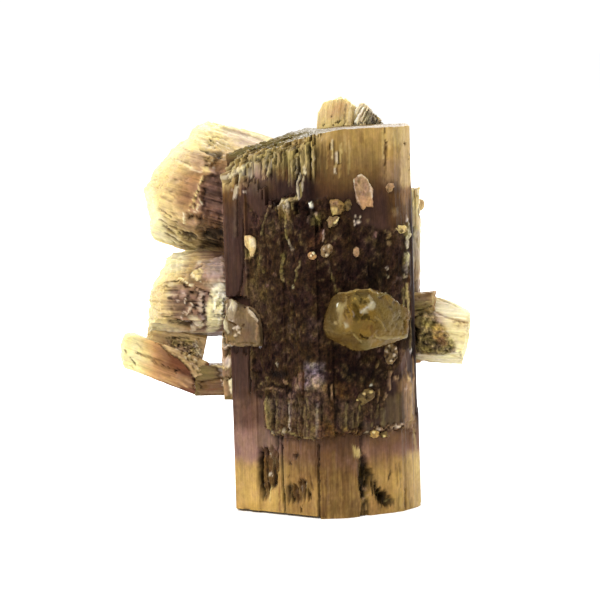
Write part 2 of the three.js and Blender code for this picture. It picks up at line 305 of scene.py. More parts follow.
class Crystal:
    """The skin of one crystal: rows of points round it, and rings of points that close its ends.

    Its local Z runs along the crystal. foot and tip give the height of its ends, by local x and y.
    pace, if given, says which share of its height is reached at which share of its rows.
    """

    def __init__(
        self, matrix, polygon, foot, tip, rows, fine, coarse, rings, splits=(), finest=None, pace=None,
    ):
        self.matrix = np.asarray(matrix, float)
        rim, normals = rim_points(polygon, fine, coarse, splits, finest)
        self.count = len(rim)
        self.rows = rows
        self.rings = rings
        top = tip(rim[:, 0], rim[:, 1])
        low = foot(rim[:, 0], rim[:, 1])
        t = np.linspace(0, 1, rows + 1)[:, None]
        if pace:
            t = np.interp(t, *pace)
        z = low + (top - low) * t
        xy = np.broadcast_to(rim, (rows + 1, self.count, 2))
        side = np.concatenate([xy, z[..., None]], axis=2).reshape(-1, 3)
        level = np.concatenate([normals, np.zeros((self.count, 1))], axis=1)
        side_n = np.broadcast_to(level, (rows + 1, self.count, 3))
        centre = rim.mean(axis=0)
        caps, cap_n = [], []
        for sign, rings_, height in ((1, rings, tip), (-1, FOOT_RINGS, foot)):
            for k in range(1, rings_ + 1):
                r = 1 - k / (rings_ + 0.3)
                p = centre + (rim - centre) * r
                caps.append(np.concatenate([p, height(p[:, 0], p[:, 1])[:, None]], axis=1))
                cap_n.append(np.tile([0.0, 0.0, sign], (self.count, 1)))
        self.cap_start = len(side)
        self.local = np.concatenate([side] + caps)
        self.normal = np.concatenate([side_n.reshape(-1, 3)] + cap_n)
        self.is_side = np.arange(len(self.local)) < self.cap_start
        self.turn = self.matrix[:3, :3]
        self.base = self.local @ self.turn.T + self.matrix[:3, 3]
        self.facing_normal = self.normal @ self.turn.T
        self.facing = smooth(0.02, 0.3, self.facing_normal @ BACK)
        self.uv = to_picture(self.base)
        ends = to_picture(np.array([self.matrix[:3, 3], self.matrix[:3, 3] + 5 * self.matrix[:3, 2]]))
        self.lean = (ends[1] - ends[0]) / np.linalg.norm(ends[1] - ends[0])
        self.out = np.zeros(len(self.local))

    def cap_shift(self):
        """How the caps' rings move in or out with the rim that they start from."""
        n = self.count
        rim_out = {1: self.out[self.cap_start - n : self.cap_start], -1: self.out[:n]}
        rim_n = {1: self.normal[self.cap_start - n : self.cap_start], -1: self.normal[:n]}
        start = self.cap_start
        shift = np.zeros((len(self.local), 3))
        for sign, rings_ in ((1, self.rings), (-1, FOOT_RINGS)):
            for k in range(1, rings_ + 1):
                r = 1 - k / (rings_ + 0.3)
                shift[start : start + n] = rim_n[sign] * (rim_out[sign] * r)[:, None]
                start += n
        return shift

    def points(self):
        moved = self.local + self.cap_shift() + self.normal * self.out[:, None]
        return moved @ self.turn.T + self.matrix[:3, 3]

    def hollows(self, reach):
        """How far each point stands above (+) or below (-) what is round it."""
        g = self.out[: self.cap_start].reshape(self.rows + 1, self.count)
        relief = np.zeros(len(self.local))
        relief[: self.cap_start] = (g - blur(g, reach)).ravel()
        return relief

    def faces(self):
        """The four-sided faces, and the ring left open at each end, as (1 or -1, its points)."""
        n, rows = self.count, self.rows
        j, i = np.meshgrid(np.arange(rows), np.arange(n), indexing="ij")
        a, b = j * n + i, j * n + (i + 1) % n
        quads = [np.stack([a, b, b + n, a + n], axis=-1).reshape(-1, 4)]
        starts = {1: self.cap_start, -1: self.cap_start + self.rings * n}
        ends = []
        for sign, rings_, rim in ((1, self.rings, rows * n), (-1, FOOT_RINGS, 0)):
            ring = np.arange(n)
            outer = rim + ring
            for k in range(rings_):
                inner = starts[sign] + k * n + ring
                loop = [outer, np.roll(outer, -1), np.roll(inner, -1), inner]
                quads.append(np.stack(loop if sign > 0 else loop[::-1], axis=-1))
                outer = inner
            ends.append((sign, outer))
        return np.concatenate(quads), ends


SHARP = math.radians(32)


def write_mesh(name, points, faces, attributes, material):
    """Makes a piece from points (mm) and faces, with values at its points for its material."""
    mesh = bpy.data.meshes.new(name)
    mesh.from_pydata((points * MM).tolist(), [], faces)
    for key, values in attributes.items():
        values = np.asarray(values, float)
        if key == "tint":
            layer = mesh.color_attributes.new(key, "FLOAT_COLOR", "POINT")
            opaque = np.concatenate([values, np.ones((len(values), 1))], axis=1)
            layer.data.foreach_set("color", opaque.ravel())
        elif values.ndim == 2:
            mesh.attributes.new(key, "FLOAT_VECTOR", "POINT").data.foreach_set("vector", values.ravel())
        else:
            mesh.attributes.new(key, "FLOAT", "POINT").data.foreach_set("value", values)
    mesh.validate()
    mesh.set_sharp_from_angle(angle=SHARP)
    mesh.materials.append(material)
    piece = bpy.data.objects.new(name, mesh)
    bpy.context.scene.collection.objects.link(piece)
    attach(piece, "root")
    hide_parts("aragonite_cluster")


def write_crystal(name, crystal, tint, crust, material, frayed=None):
    quads, ends = crystal.faces()
    faces = [tuple(q) for q in quads.tolist()] + [tuple(ring[::sign].tolist()) for sign, ring in ends]
    attributes = {"tint": tint, "along": crystal.local, "crusted": crust}
    if frayed is not None:
        attributes["frayed"] = frayed
    write_mesh(name, crystal.points(), faces, attributes, material)


# ---- Materials ----
BUMP_HEIGHT = 0.00025  # of the finest relief, in metres
GLOW_RADIUS = (1.0, 0.75, 0.4)  # light spreads further in warm colours
WARM_GREY = (0.93, 0.86, 1.12, 1)
YELLOWISH = (1.06, 1.08, 0.84, 1)


def nodes_of(name):
    material = bpy.data.materials.new(name)
    material.use_nodes = True
    tree = material.node_tree
    return material, tree, tree.nodes["Principled BSDF"]


def from_mesh(tree, name, output="Fac"):
    return node(tree, "ShaderNodeAttribute", attribute_name=name).outputs[output]


def node(tree, kind, **settings):
    """A new node, with settings for its inputs or its own properties."""
    made = tree.nodes.new(kind)
    for key, value in settings.items():
        if key in made.inputs.keys() and not hasattr(made, key):
            made.inputs[key].default_value = value
        else:
            setattr(made, key, value)
    return made


def scaled(tree, vector, scale):
    mapped = node(tree, "ShaderNodeMapping")
    mapped.inputs["Scale"].default_value = scale
    tree.links.new(vector, mapped.inputs["Vector"])
    return mapped.outputs["Vector"]


def noise_node(tree, vector, size, detail, roughness=0.6):
    made = node(tree, "ShaderNodeTexNoise", Scale=1.0, Detail=detail, Roughness=roughness)
    tree.links.new(scaled(tree, vector, tuple(1 / s for s in size)), made.inputs["Vector"])
    return made.outputs["Fac"]


def spread(tree, value, from_low, from_high, to_low, to_high):
    made = node(tree, "ShaderNodeMapRange")
    ends = {"From Min": from_low, "From Max": from_high, "To Min": to_low, "To Max": to_high}
    for key, v in ends.items():
        made.inputs[key].default_value = v
    tree.links.new(value, made.inputs["Value"])
    return made.outputs["Result"]


def product(tree, a, b):
    made = node(tree, "ShaderNodeMath", operation="MULTIPLY")
    for socket, v in zip(made.inputs, (a, b)):
        if isinstance(v, (int, float)):
            socket.default_value = v
        else:
            tree.links.new(v, socket)
    return made.outputs["Value"]


def crystal_material(name, glow, depth, gloss):
    """Painted by the mesh, then streaked along the crystal, with finer fibres where it is frayed
    and grit where it is crusted. glow and depth are how much light goes in, and how far."""
    material, tree, shader = nodes_of(name)
    link = tree.links.new
    tint, along = from_mesh(tree, "tint", "Color"), from_mesh(tree, "along", "Vector")
    crusted, frayed = from_mesh(tree, "crusted"), from_mesh(tree, "frayed")

    def blend(amount, low, high):
        mixed = node(tree, "ShaderNodeMix", data_type="FLOAT")
        link(amount, mixed.inputs["Factor"])
        link(low, mixed.inputs["A"])
        link(high, mixed.inputs["B"])
        return mixed.outputs["Result"]

    streaks = noise_node(tree, along, (0.16, 0.16, 4.0), 2.0)
    mottle = noise_node(tree, along, (0.35, 0.35, 0.45), 4.0, 0.65)
    grit = noise_node(tree, along, (0.19, 0.19, 0.22), 3.0, 0.7)
    fibres = noise_node(tree, along, (0.13, 0.13, 1.6), 3.0, 0.65)
    patches = noise_node(tree, along, (1.1, 1.1, 1.5), 3.0, 0.6)
    streaked = spread(tree, streaks, 0.3, 0.7, 0.88, 1.12)
    mottled = spread(tree, mottle, 0.3, 0.7, 0.86, 1.14)
    blotched = spread(tree, mottle, 0.3, 0.7, 0.55, 1.5)
    gritty = spread(tree, grit, 0.3, 0.7, 0.45, 1.55)
    smooth_tone, rough_tone = product(tree, streaked, mottled), product(tree, blotched, gritty)
    stringy = spread(tree, fibres, 0.33, 0.67, 0.35, 1.5)
    factor = blend(frayed, blend(crusted, smooth_tone, rough_tone), stringy)
    scale = node(tree, "ShaderNodeVectorMath", operation="SCALE")
    link(tint, scale.inputs[0])
    link(factor, scale.inputs["Scale"])
    hues = node(tree, "ShaderNodeMix", data_type="RGBA", blend_type="MIX")
    hues.inputs["A"].default_value = WARM_GREY
    hues.inputs["B"].default_value = YELLOWISH
    link(spread(tree, patches, 0.38, 0.62, 0.0, 1.0), hues.inputs["Factor"])
    stained = node(tree, "ShaderNodeMix", data_type="RGBA", blend_type="MULTIPLY")
    link(spread(tree, crusted, 0, 1, 0.35, 1.0), stained.inputs["Factor"])
    link(scale.outputs["Vector"], stained.inputs["A"])
    link(hues.outputs["Result"], stained.inputs["B"])
    link(stained.outputs["Result"], shader.inputs["Base Color"])
    link(spread(tree, crusted, 0, 1, gloss, 0.8), shader.inputs["Roughness"])
    lines = noise_node(tree, along, (0.12, 0.12, 6.0), 2.0)
    relief = blend(frayed, blend(crusted, product(tree, lines, 0.25), grit), fibres)
    bump = node(tree, "ShaderNodeBump", Strength=0.9, Distance=BUMP_HEIGHT)
    link(relief, bump.inputs["Height"])
    link(bump.outputs["Normal"], shader.inputs["Normal"])
    shader.inputs["IOR"].default_value = 1.6
    shader.inputs["Specular IOR Level"].default_value = 0.03
    shader.inputs["Subsurface Weight"].default_value = glow
    shader.inputs["Subsurface Radius"].default_value = GLOW_RADIUS
    shader.inputs["Subsurface Scale"].default_value = depth
    return material


ARAGONITE = crystal_material("aragonite", glow=0.12, depth=0.0008, gloss=0.3)
TRANSLUCENT = crystal_material("aragonite_translucent", glow=0.3, depth=0.0012, gloss=0.25)


# ---- What the photograph shows on the front, by picture position ----
BROAD = 3  # marks with an edge at least this soft (px) are washes, which cover no growth


def dots(uv, spots, soft):
    mask = np.zeros(len(uv))
    for x, y, r in spots:
        far = np.hypot(*(uv - (x, y)).T)
        mask = np.maximum(mask, 1 - smooth(r - soft * 0.5, r + soft * 0.5, far))
    return mask


def picture_marks(crystal, spec, tint, warp, comb=0.0):
    """Adds marks to the front of a crystal: returns its raised height, its colours and how covered
    it is. warp bends their edges, and comb frays their ends along the crystal, both in pixels."""
    wobble = scatter(crystal.base, 0.45, 71, 72) + 0.7 * scatter(crystal.base, 0.25, 73, 74)
    uv = crystal.uv + warp * wobble
    threads = np.zeros(len(uv))
    if isinstance(crystal, Crystal):
        threads = noise(crystal.local, (0.13, 0.13, 3.0), 77)
        threads = threads + 0.6 * noise(crystal.local, (0.3, 0.3, 4.0), 78)
        uv = uv + np.outer(comb * threads, crystal.lean)
    uneven = noise(crystal.base, (0.32, 0.32, 0.4), 75)
    uneven = uneven + 0.5 * noise(crystal.base, (0.9, 0.9, 1.4), 76)
    raised, cover = np.zeros(len(uv)), np.zeros(len(uv))
    for kind, shape, width, height, colour, strength in spec:
        spots = np.array([p[:2] for p in shape], float)
        reach = width + 4 + max((p[2] for p in shape if len(p) > 2), default=0)
        near = (uv > spots.min(axis=0) - reach) & (uv < spots.max(axis=0) + reach)
        at = np.flatnonzero(np.all(near, axis=1) & (crystal.facing > 0))
        if not len(at):
            continue
        if kind == "a":
            mask = region(uv[at], shape, width)
        elif kind == "l":
            mask = stroke(uv[at], shape, width * 1.15)
        else:
            mask = dots(uv[at], shape, width)
        mask = mask * crystal.facing[at]
        raised[at] += height * mask * (1 + 0.5 * uneven[at] + 0.45 * threads[at])
        worn = np.clip(1 - 0.35 * np.abs(uneven[at]) - 0.4 * np.abs(threads[at]), 0, 1)
        painted = mask * strength * worn
        tint[at] = paint(tint[at], colour, painted)
        if width < BROAD:
            cover[at] = np.maximum(cover[at], painted)
    return raised, tint, cover


def rows_of(text):
    """The words of each line, but for comments. A line that starts with + goes on with the one before."""
    lines = text.replace("\n+ ", " ").strip().splitlines()
    return [line.split() for line in lines if not line.startswith("#")]


def places_of(words):
    return [tuple(float(v) for v in word.split(",")) for word in words]


def read_marks(text):
    """Marks in the picture, one a line: kind, colour, strength, width (px), height (mm), places.

    The kinds are a, an area by its corners; l, a line through places; and d, dots, each x,y,radius.
    The width of an area or a dot is that of its soft edge.
    """
    return [
        (kind, places_of(places), float(width), float(height), colour, float(strength))
        for kind, colour, strength, width, height, *places in rows_of(text)
    ]


# ---- The main crystal ----
# Painted glint: a pale speck.
# Painted glint: a white speck on a raised grain.
# Painted glint: a white speck.
# Painted glint: a white speck.
# Painted glint: a white speck.
# Painted glints: a white fleck and a bone-coloured speck.
# Painted highlight along the crystal's left edge.
# Painted highlight along the overgrowth's right edge.
# Painted highlight along the right edge.
# Painted highlight: the cream band along the top of the outer columns, where they face up.
# Painted shade: black in the gaps between the fibres.
# Painted shadow under the ledge's left end.
# Painted shadow under the ledge.
# clefts in it: sunk, and painted black and dark for the shade in them
# ledges: their pale lips are painted highlight, the dark lines along them painted shadow, the black dots
# painted shade in holes
# the smooth lower part: pinkish above, honey below, the honey partly painted glow of light coming through the
# foot
MAIN_FRONT = read_marks("""
# left column
a plum .9 4 0 222,190 248,188 249,300 222,300
a dusk .4 6 0 222,198 246,198 246,246 222,246
a night .35 8 0 222,198 246,198 246,300 222,300
a honey .8 5 0 223,172 240,175 239,186 223,188
a brown .7 6 0 223,186 240,184 240,202 223,204
a mauve .3 3 0 223,204 230,204 230,292 223,292
a dusk .5 4 0 236,232 248,232 247,298 236,298
l ash .6 2.4 .05 238,200 238.4,236
l dusk .6 3 -.1 243.5,200 243.5,260
l dark .8 2.2 -.25 246.4,216 246.6,262 244,284 240.5,298
l brown .7 1.6 .1 248,196 248,238
l dusk .35 2 -.04 232,204 232,290
l ash .3 2 .04 227,214 227.5,280
l dark .7 1.8 -.15 240.4,197 240.6,236
a umber .5 4 0 225,196 238,196 238,216 225,216
a dusk .4 6 0 234,344 250,344 250,388 234,388
a dusk .35 7 0 262,208 298,208 298,246 262,246
# between the corner and the crust
a ash .75 5 0 249,178 272,178 275,188 262,196 249,194
a umber .6 4 0 262,182 276,180 277,192 264,194
a dusk .85 4 0 273,176 294,180 292,196 276,199
a plum .8 6 0 249,194 278,194 270,212 262,234 249,234
a dusk .6 4 0 260,196 283,196 274,210 262,214
a dusk .5 3 0 252,222 262,222 262,248 255,248
l ash .5 1.6 .05 250,190 257,186 262,182
l flesh .5 1.5 .08 277,172 283,172 286,170
d black .5 2 -.1 277,203,3.4
a black .8 1.5 -.2 275,204 282,199 287,196 281,204 277,208
# the top right: amber above, fading to brown
a honey .75 7 0 312,126 384,124 384,142 312,146
a amber .9 8 0 316,138 384,138 384,160 316,160
a olive .8 9 0 316,156 384,158 384,178 316,178
a brown .6 7 0 330,160 384,162 384,178 330,178
a umber .75 6 0 314,150 331,150 332,190 314,190
a umber .8 8 0 316,180 352,178 352,198 316,198
a umber .75 8 0 372,178 410,186 408,200 372,200
a plum .7 6 0 362,196 384,194 384,230 362,228
a brown .7 5 0 388,194 404,192 404,226 388,226
a honey .95 6 0 384,124 411,124 411,162 384,162
a straw .6 5 0 386,124 411,124 411,144 386,146
a flesh .75 7 0 384,160 410,160 411,184 384,182
a tan .8 4 0 401,180 411,180 410,202 402,202
a flesh .6 4 0 403,198 411,198 409,220 403,220
a sand .95 2.5 0 401,124 412,124 412,186 402,186
a honey .4 4 0 352,132 362,132 362,170 352,170
l brown .5 5 0 361,134 362,142
l umber .4 5 0 356,150 357,176
l amber .5 4 0 371,138 371,170
l umber .3 3 -.03 366,142 366,170
l straw .3 3 0 345,134 345,150
l straw .35 2.4 .03 349,140 349,172
l straw .6 1.8 .06 382.6,128 383,160
l umber .8 1.6 -.2 384.6,126 384.8,134
l brown .9 3 -.25 385.6,142 385.6,164
l umber .6 1.8 -.1 385.4,162 385.4,180
l brown .4 2.4 0 392,138 392,172
l olive .4 2.4 0 396,128 397,150
l sand .5 1.8 .04 401,146 401,182
l brown .4 1.6 0 404,160 404.5,184
d umber .9 .8 -.2 405,142.4,1.5 410,157,1.4 410.4,170,1.2
a brown .3 7 0 334,168 384,168 384,188 334,188
# grains and fibres there
l bone .9 2 .15 332,142 332.2,151
l umber .9 1.8 -.3 330,146 330,151
l straw .8 1.6 .1 332.6,151 332,160
l bone .95 2.6 .2 337,151.5 336.4,160
l straw .8 1.8 .1 336,160 335.4,168
l bone .9 2.2 .2 335.4,169 335.6,173
l straw .8 1.8 .12 340.6,144 340.8,152 340.2,160
l honey .9 2 .12 339.4,163 339.8,175
l umber .6 1.6 -.12 334,141 334,180
l umber .6 1.4 -.1 338.6,150 338.2,176
l brown .6 2 -.06 328,148 328,178
l brown .5 2 -.06 322,140 322,176
l honey .5 1.6 .05 327,142 327,170
l umber .5 3 -.05 318,150 318,180
d cream .8 .8 .15 313.4,137,1.3 318,135.6,1.8 322,138,1.1 303,137,1.1
a straw .5 3 0 312,130 332,130 330,140 314,141
# the frayed corner: a brush of fibres over a bright ledge
a honey .9 2.5 0 224,170 231,152 244,143 266,141 290,134 312,130 314,142 290,146 262,152 238,170
a sand .8 2 .05 225,170 230,158 235,151 240,148 238,158 236,168 228,173
l cream .8 2 .2 226,170 229,162 233,153
l cream .8 1.8 .2 231,168 233,160 236,151
l sand .9 1.8 .15 235.6,167 237.6,160
a khaki .8 2 .05 235,150 241,149 240,158 235,158
l straw .9 2.4 .15 242,152 244,145
l straw .8 2 .1 247.6,156 248,148
a khaki .7 2 0 240,145 252,146 250,154 243,153
d umber .9 1.4 -.4 243,160,2.4 246,164,1.9 247.4,156,2 241,156,1.4 231,169,1.2
d dark .9 .8 -.2 242,162,1.4 245,164.5,1.2
l bone .7 1.8 .1 244,158 248,161 252,158
a straw .8 3 0 224,176 236,174 236,184 228,192 223,190
l cream .98 4.6 .35 224.5,176 230,175.6 237,172 242,169
l cream .95 4 .3 240,169 246,165 251,161 256,157
l butter .9 3 .2 256,153 262,150 270,146
l cream .6 2 .1 230,173 236,168 243,165
a blush .9 1.5 .05 248,175 249,167 253,162 257,160 257,168 254,174 250,177
a pink .8 2.5 0 252,175 257,160 263,160 264,170 258,177
a mauve .6 3 0 254,172 264,170 266,178 256,182
l bone .95 3.2 .3 242.4,172 242.4,179 241.6,185 239.6,191 238,197
l cream .8 1.6 .1 241.6,173 241.6,182
l tan .6 3 0 244.6,180 243,192
l umber .85 1.8 -.3 245.2,171.6 245.4,175
l bone .9 1.8 .2 247.6,171 247.8,176
l flesh .8 1.8 .1 247.8,177 247.6,186
d blush .7 .8 .1 233.4,179.6,1.6 247.2,192,1.3 235.4,189,1.4
a brown .7 3 0 226,186 239,183 238,196 226,198
l cream .8 2.4 .1 224,178 224.4,186 223,200
l blush .85 2 .1 222.8,196 222.2,210 222.6,224
a khaki .8 2 0 257,152 271,150 271,160 258,162
l amber .9 2.6 -.3 267.6,152 267.4,164
l umber .6 2 -.2 261.6,157 261.8,168
l bone .95 1.9 .25 264.8,150 264.6,160 265,169
l flesh .7 1.5 .1 264,169 263.8,174
l bone .95 2.4 .3 273.6,153 272,158 270.6,162 269.4,168 268,173
l flesh .9 1.6 .15 268,173 265,177 263.4,179
l dark .8 2.2 -.35 275.6,153 275.2,165
d dark .8 1 -.3 274.4,164,2 281,151,1.6 276,156,1.4
l flesh .8 1.6 .15 279,152 278.6,160 277,166
l umber .8 2.4 -.2 280.6,148 281,160
l brown .7 4 0 283.6,150 284,170
a brown .7 3 0 276,166 290,164 290,180 277,178
l khaki .95 4 .2 288.2,150 288.6,159
l brown .6 1.4 -.1 290.4,160 290.6,178
l bone .85 2.2 .2 291.4,163 291.6,170
l ash .8 2.4 .1 291,171 291.6,186
l khaki .5 2 .05 288.4,160 288.6,184
l black .92 2.8 -.5 293,150 293.4,160 294.6,170
l black .92 2.4 -.5 297.6,159 297.4,175
l bone .9 1.2 .25 295.8,160 295.6,168 295.8,176
l ash .8 1.6 .1 299.4,160 299.2,168
l khaki .95 3.6 .15 300,153 299.8,159
l straw .95 3 .35 305,144 306,150 307.2,157 306,164 304.8,168
l cream .9 2.4 .3 305,168 305.2,174
l khaki .7 2 .1 303,148 303,172
l black .95 3.4 -.6 308.6,147 309.4,154 309.6,159
l umber .85 3 -.25 310.6,160 310.4,178
l blush .95 2.4 .25 313.2,149.4 313.4,157.6
l bone .85 1.4 .15 311.6,160 311.4,167
l brown .7 2 -.1 315.4,158 315.6,180
l cream .95 2.2 .3 298.6,173.4 298.8,178.6
l bone .9 1.8 .25 297.4,180 298,190 299,199
l bone .85 1.8 .2 303.6,176 302.4,184 302.4,190
l khaki .9 1.6 .1 300.6,184 301,198
l black .9 1.8 -.4 296,177 296,186
l black .8 1.6 -.3 300.6,176 300.2,182
a night .85 3 -.1 305,177 314,177 320,196 316,204 303,204
a honey .7 2 0 284,137 300,133 312,131 328,132 326,140 300,146 286,148
d rust .8 1.2 -.15 301.6,142,2.4 296,146,1.9 299,148,1.6 304,144.6,1.5 291,141.6,1.6
d umber .9 1 -.3 291.6,146,1.7 294.4,150,1.6 302,150,1.3 297.6,152.6,1.4
l straw .85 1.4 .15 304.6,138 304.6,144
l straw .8 1.4 .12 287.6,138 285,146
l bone .8 1.6 .12 290.4,147 289.4,151
l straw .7 1.4 .12 297,138 298,143
# the ledge under it and the fibres hanging down
l straw .9 4 .35 281.6,208 284,204 288,200.6 292,199 297,198
l cream .8 1.6 .15 282,206.6 287,200.6 291,198.6
a khaki .9 1.5 .25 284,203 292,200 292,210 284,210
l bone .95 2.2 .3 291.2,199 291.4,206 291.6,213
l bone .9 1.8 .3 288.6,204 288.6,212
l khaki .9 2 .15 295,200 295.8,208
l umber .85 1.6 -.2 293.8,202 293.8,210
a honey .7 2.5 .1 281,209 294,208 292,218 283,217
l straw .8 1.8 .2 289,213 288.6,220 289,226
l flesh .7 1.8 .15 291.6,213 292,220
a ash .7 3 .05 287,221 296,220 297,229 288,230
l khaki .95 2.4 .25 289.8,230 289.6,239
d dark .9 1 -.25 289,240.4,1.5 292,246,1.5
l blush .7 1.8 .2 291.2,240 291.8,244.6 295,249
l flesh .7 1.6 .15 269.6,213 272,209 274.6,205
l ash .8 1.8 .1 276,211 281,208.6
l khaki .8 2.2 .2 270.4,213 268,219 265.6,225 264.6,234
a lichen .75 3 .05 266,222 284,212 287,228 270,234
d black .6 1.4 -.15 275,225,2 278,221,1.4 264,227,2
d flesh .5 1.2 .1 281,222,1.6 275,233,1.5
a night .85 4 -.1 297,202 310,200 318,222 310,246 300,250 296,236
l umber .8 3 0 315,206 318,212
l white .95 2.8 .3 310.6,203.6 312.4,207.4
d white .9 1 .2 311,203.4,1.4
l ash .7 2.2 .1 311,208 310.6,222
l khaki .95 3.4 .25 316,214 318.4,219
d pink .8 1 .15 316.2,213,1.7
a khaki .6 2 .1 313,213 320,213 320,224 313,225
l pink .9 2 .25 323.8,230 323.6,236 322.6,241
l rust .6 2.4 -.1 321,228 321.2,240
a rust .5 4 0 312,238 321,238 320,250 311,250
d khaki .6 1 .1 335,238.6,1.6 332,240.6,1.3
l ash .8 1.8 .15 328,261 329.6,265
l khaki .5 1.8 .12 330,268 332,277 334.6,286 337,291
a night .3 5 0 266,206 298,204 298,246 264,248
# fibres in the crust
l khaki .7 1.8 .18 285.6,254 286.4,260 285,266
l khaki .9 1.9 .2 285,269 285.6,274 287,280
d dark .8 1.2 -.2 283.6,265,1.6 287.4,263.6,1.2 283,276,1.4
l khaki .85 1.8 .2 303.6,261 303.4,266 301,270
l khaki .9 1.8 .2 300.8,270 301.4,276 300.4,281
d cream .8 .8 .15 296.4,287,1.2
a lichen .8 3 .08 257,248 264,248 265,276 256,276
d khaki .8 1.2 .12 263.4,257.6,1.6 261,263,1.3
a lumpy .5 3 .08 250,280 258,280 257,300 248,300
a lichen .6 5 .05 256,282 276,282 276,318 257,318
l khaki .6 1.6 .12 265.6,270 267.6,273
d mauve .6 1.4 .1 278.6,274,2 271,285,1.5
a khaki .55 2 .1 248,250 256,248 256,257 249,257
l flesh .6 1.6 .12 249,257.6 255.6,256.6
l ash .6 1.8 .08 249,258 249.2,272
a night .8 6 -.1 309,262 330,262 332,290 312,290
a night .85 5 -.15 334,258 372,256 372,289 336,289
a night .85 4 -.15 341,230 361,229 361,246 343,246
a night .7 6 -.05 308,288 326,288 322,320 306,320
a black .5 4 0 340,262 366,262 366,272 340,272
a plum .6 4 0 330,236 342,238 342,262 334,262
a plum .6 5 0 360,232 372,240 372,262 360,262
a black .75 7 -.1 364,232 383,234 384,288 366,288
l dusk .8 2.4 -.2 296,300 296.6,342
l black .7 3 -.2 302,318 302.6,338
l dark .8 2.2 -.25 250.4,344 251,392
d dark .6 2 -.1 289,318,2 274,326,2 268,318,1.6 281,336,2 286,344,1.6 273,352,1.8
d ash .6 1.4 .08 293,326,2.6 281,345,1.6 289,352,1.6 294,331,2
a ash .45 4 .05 310,318 322,320 322,340 312,340
d lichen .8 1.4 .12 262,330,2.4 261,336,1.8 282.4,320,1.6 294,303,1.4 295,312,1.4
l ash .8 1.5 .15 268,336 268,342
l white .95 2 .3 261.8,346.4 263.8,343.4
d bone .8 1 .15 282,363.4,1.5
l lichen .7 4 .06 253.6,350 254,378
a black .8 2.5 -.2 273,371 288,370 291,375 286,378 274,377
l lichen .8 1.6 .15 262,384 268,381 276,381 285,384
l flesh .6 1.6 .15 266,389 276,386.6 287,390
l dark .7 1.6 -.15 268,385 278,384.6 288,387
l flesh .85 2 .2 288.4,380 291,383.4
d khaki .7 1.2 .12 263,384,1.8 270,377.6,1.4
a lichen .5 3 .05 256,380 268,380 268,396 257,396
d black .7 1.6 -.15 260,397,2 312,356,2.6 310,344,2.2
# the smooth patch and the columns above the ledge
a mauve .6 2.5 .08 297,378 306,372 306,392 297,392
d pink .6 1.4 .05 302,387,2.6
a lilac .3 3 .1 309,362 324,362 327,378 321,392 309,388
a pink .6 3 .05 310,374 321,373 322,388 311,388
l lilac .6 3 .05 315.6,363 317,373
l rust .8 2 -.2 307.4,370 307.8,386 307.6,397
a plum .6 3 0 322,370 331,372 331,396 324,396
a tan .5 3 .05 317,384 326,384 325,398 317,398
a ash .6 3 .1 309,392 320,392 320,438 309,438
a ash .6 3 .1 289,392 300,390 299,424 289,424
d flesh .6 1.4 .1 294.6,395,2.4 295,401,1.8
a ash .6 3 .05 277,392 289,388 289,426 278,424
a khaki .7 2 .2 268,400 276.6,398 276.6,428 272,430
l tan .7 2 .1 267.4,402 269.6,418 272,428
l dark .9 2 -.35 278,400 278.4,430
l black .6 1.6 -.2 283.6,408 284,424
l lichen .7 2 .1 286.6,398 287,424
l umber .8 2 -.2 289.4,404 289.6,432
l khaki .5 2 .1 296,406 296.4,430
l umber .8 1.8 -.2 299.4,400 299.8,428
l khaki .6 1.6 .1 301.8,399 302.2,405 304,410 304.6,414
l khaki .7 1.6 .1 301,417 301.4,424 302.6,431 302.8,436
l umber .7 1.6 -.2 306.4,402 306.8,436
l khaki .5 1.8 .1 308.6,404 309,436
l umber .5 1.5 -.12 313.4,400 313.6,432
l bone .7 1.8 .12 318.4,402 318.6,416 318.2,437
l khaki .6 3 .1 315.4,422 315.8,437
l khaki .6 1.8 .1 311.4,418 311.6,437
a brown .6 3 .05 321,410 329,410 329,437 321,437
l umber .7 2 -.2 321.6,396 322,420
l brown .6 2.4 -.1 326.4,398 326.8,436
d khaki .8 1.2 .1 321,417,1.6 322,412,1.2
l flesh .8 1.5 .15 331.4,384 331.2,390 332,399
l black .85 2 -.35 329,385 329.4,396
l black .7 1.6 -.25 333.6,386 333.8,395
l umber .7 4 -.1 331,400 332,420
a lichen .6 4 .06 340,404 354,404 354,428 341,428
l khaki .5 2 .12 345,404 345.4,428
l khaki .4 1.8 .1 351,412 351.4,428
l dusk .6 2.4 -.1 348,410 348,430
l dusk .6 3 -.1 337,402 337,428
l flesh .85 1.6 .2 376.8,390 377,396 375.6,402
l khaki .7 1.6 .15 375.6,406 375.8,418
l khaki .6 3 .12 381,408 381.4,427
l umber .7 1.6 -.15 378.6,402 378.8,427
a lichen .7 3 .05 384,396 398,394 399,425 384,425
a olive .6 4 0 394,394 402,392 401,420 395,420
a flesh .95 2.5 .05 402,378 414,378 414,430 403,430
a dusk .6 3 0 396,340 408,340 408,352 397,352
a mauve .4 3 0 398,350 408,350 406,372 398,372
# what lies to the right of the clear crystal's height
l lumpy .8 2.4 .2 384.4,232 386.4,232 387.6,236 385.6,238.6
d black .8 1 -.15 388.4,232,1.3 385,240.6,1.2 357,219.4,1.2 354.6,221.6,1.1
d lumpy .8 1.4 .15 386.6,243,2
d mauve .7 1.6 .12 373.6,234.6,2.6
d lumpy .5 1.6 .1 366.4,219,2
l blush .8 1.5 .2 353,220.6 354.4,217.6
d blush .95 .8 .2 357,221.6,1.5 353.4,223.6,1.1 358.6,217.6,.9
a lumpy .6 2 .12 391,209 397,208 398,216 392,216
l blush .9 2 .15 404.8,216 405,220
d white .95 .8 .2 405,222,1.4
l flesh .8 2 .2 391,230 396,228
a khaki .85 2 .2 400,225 408,224 409,234 402,236
l cream .95 2.6 .25 405.6,232 405.2,240 404.6,248
a plum .8 3 -.05 392,233 402,236 402,248 392,248
a bone .9 2 .25 402.4,253 407,252 406,264 405,274 403.4,270
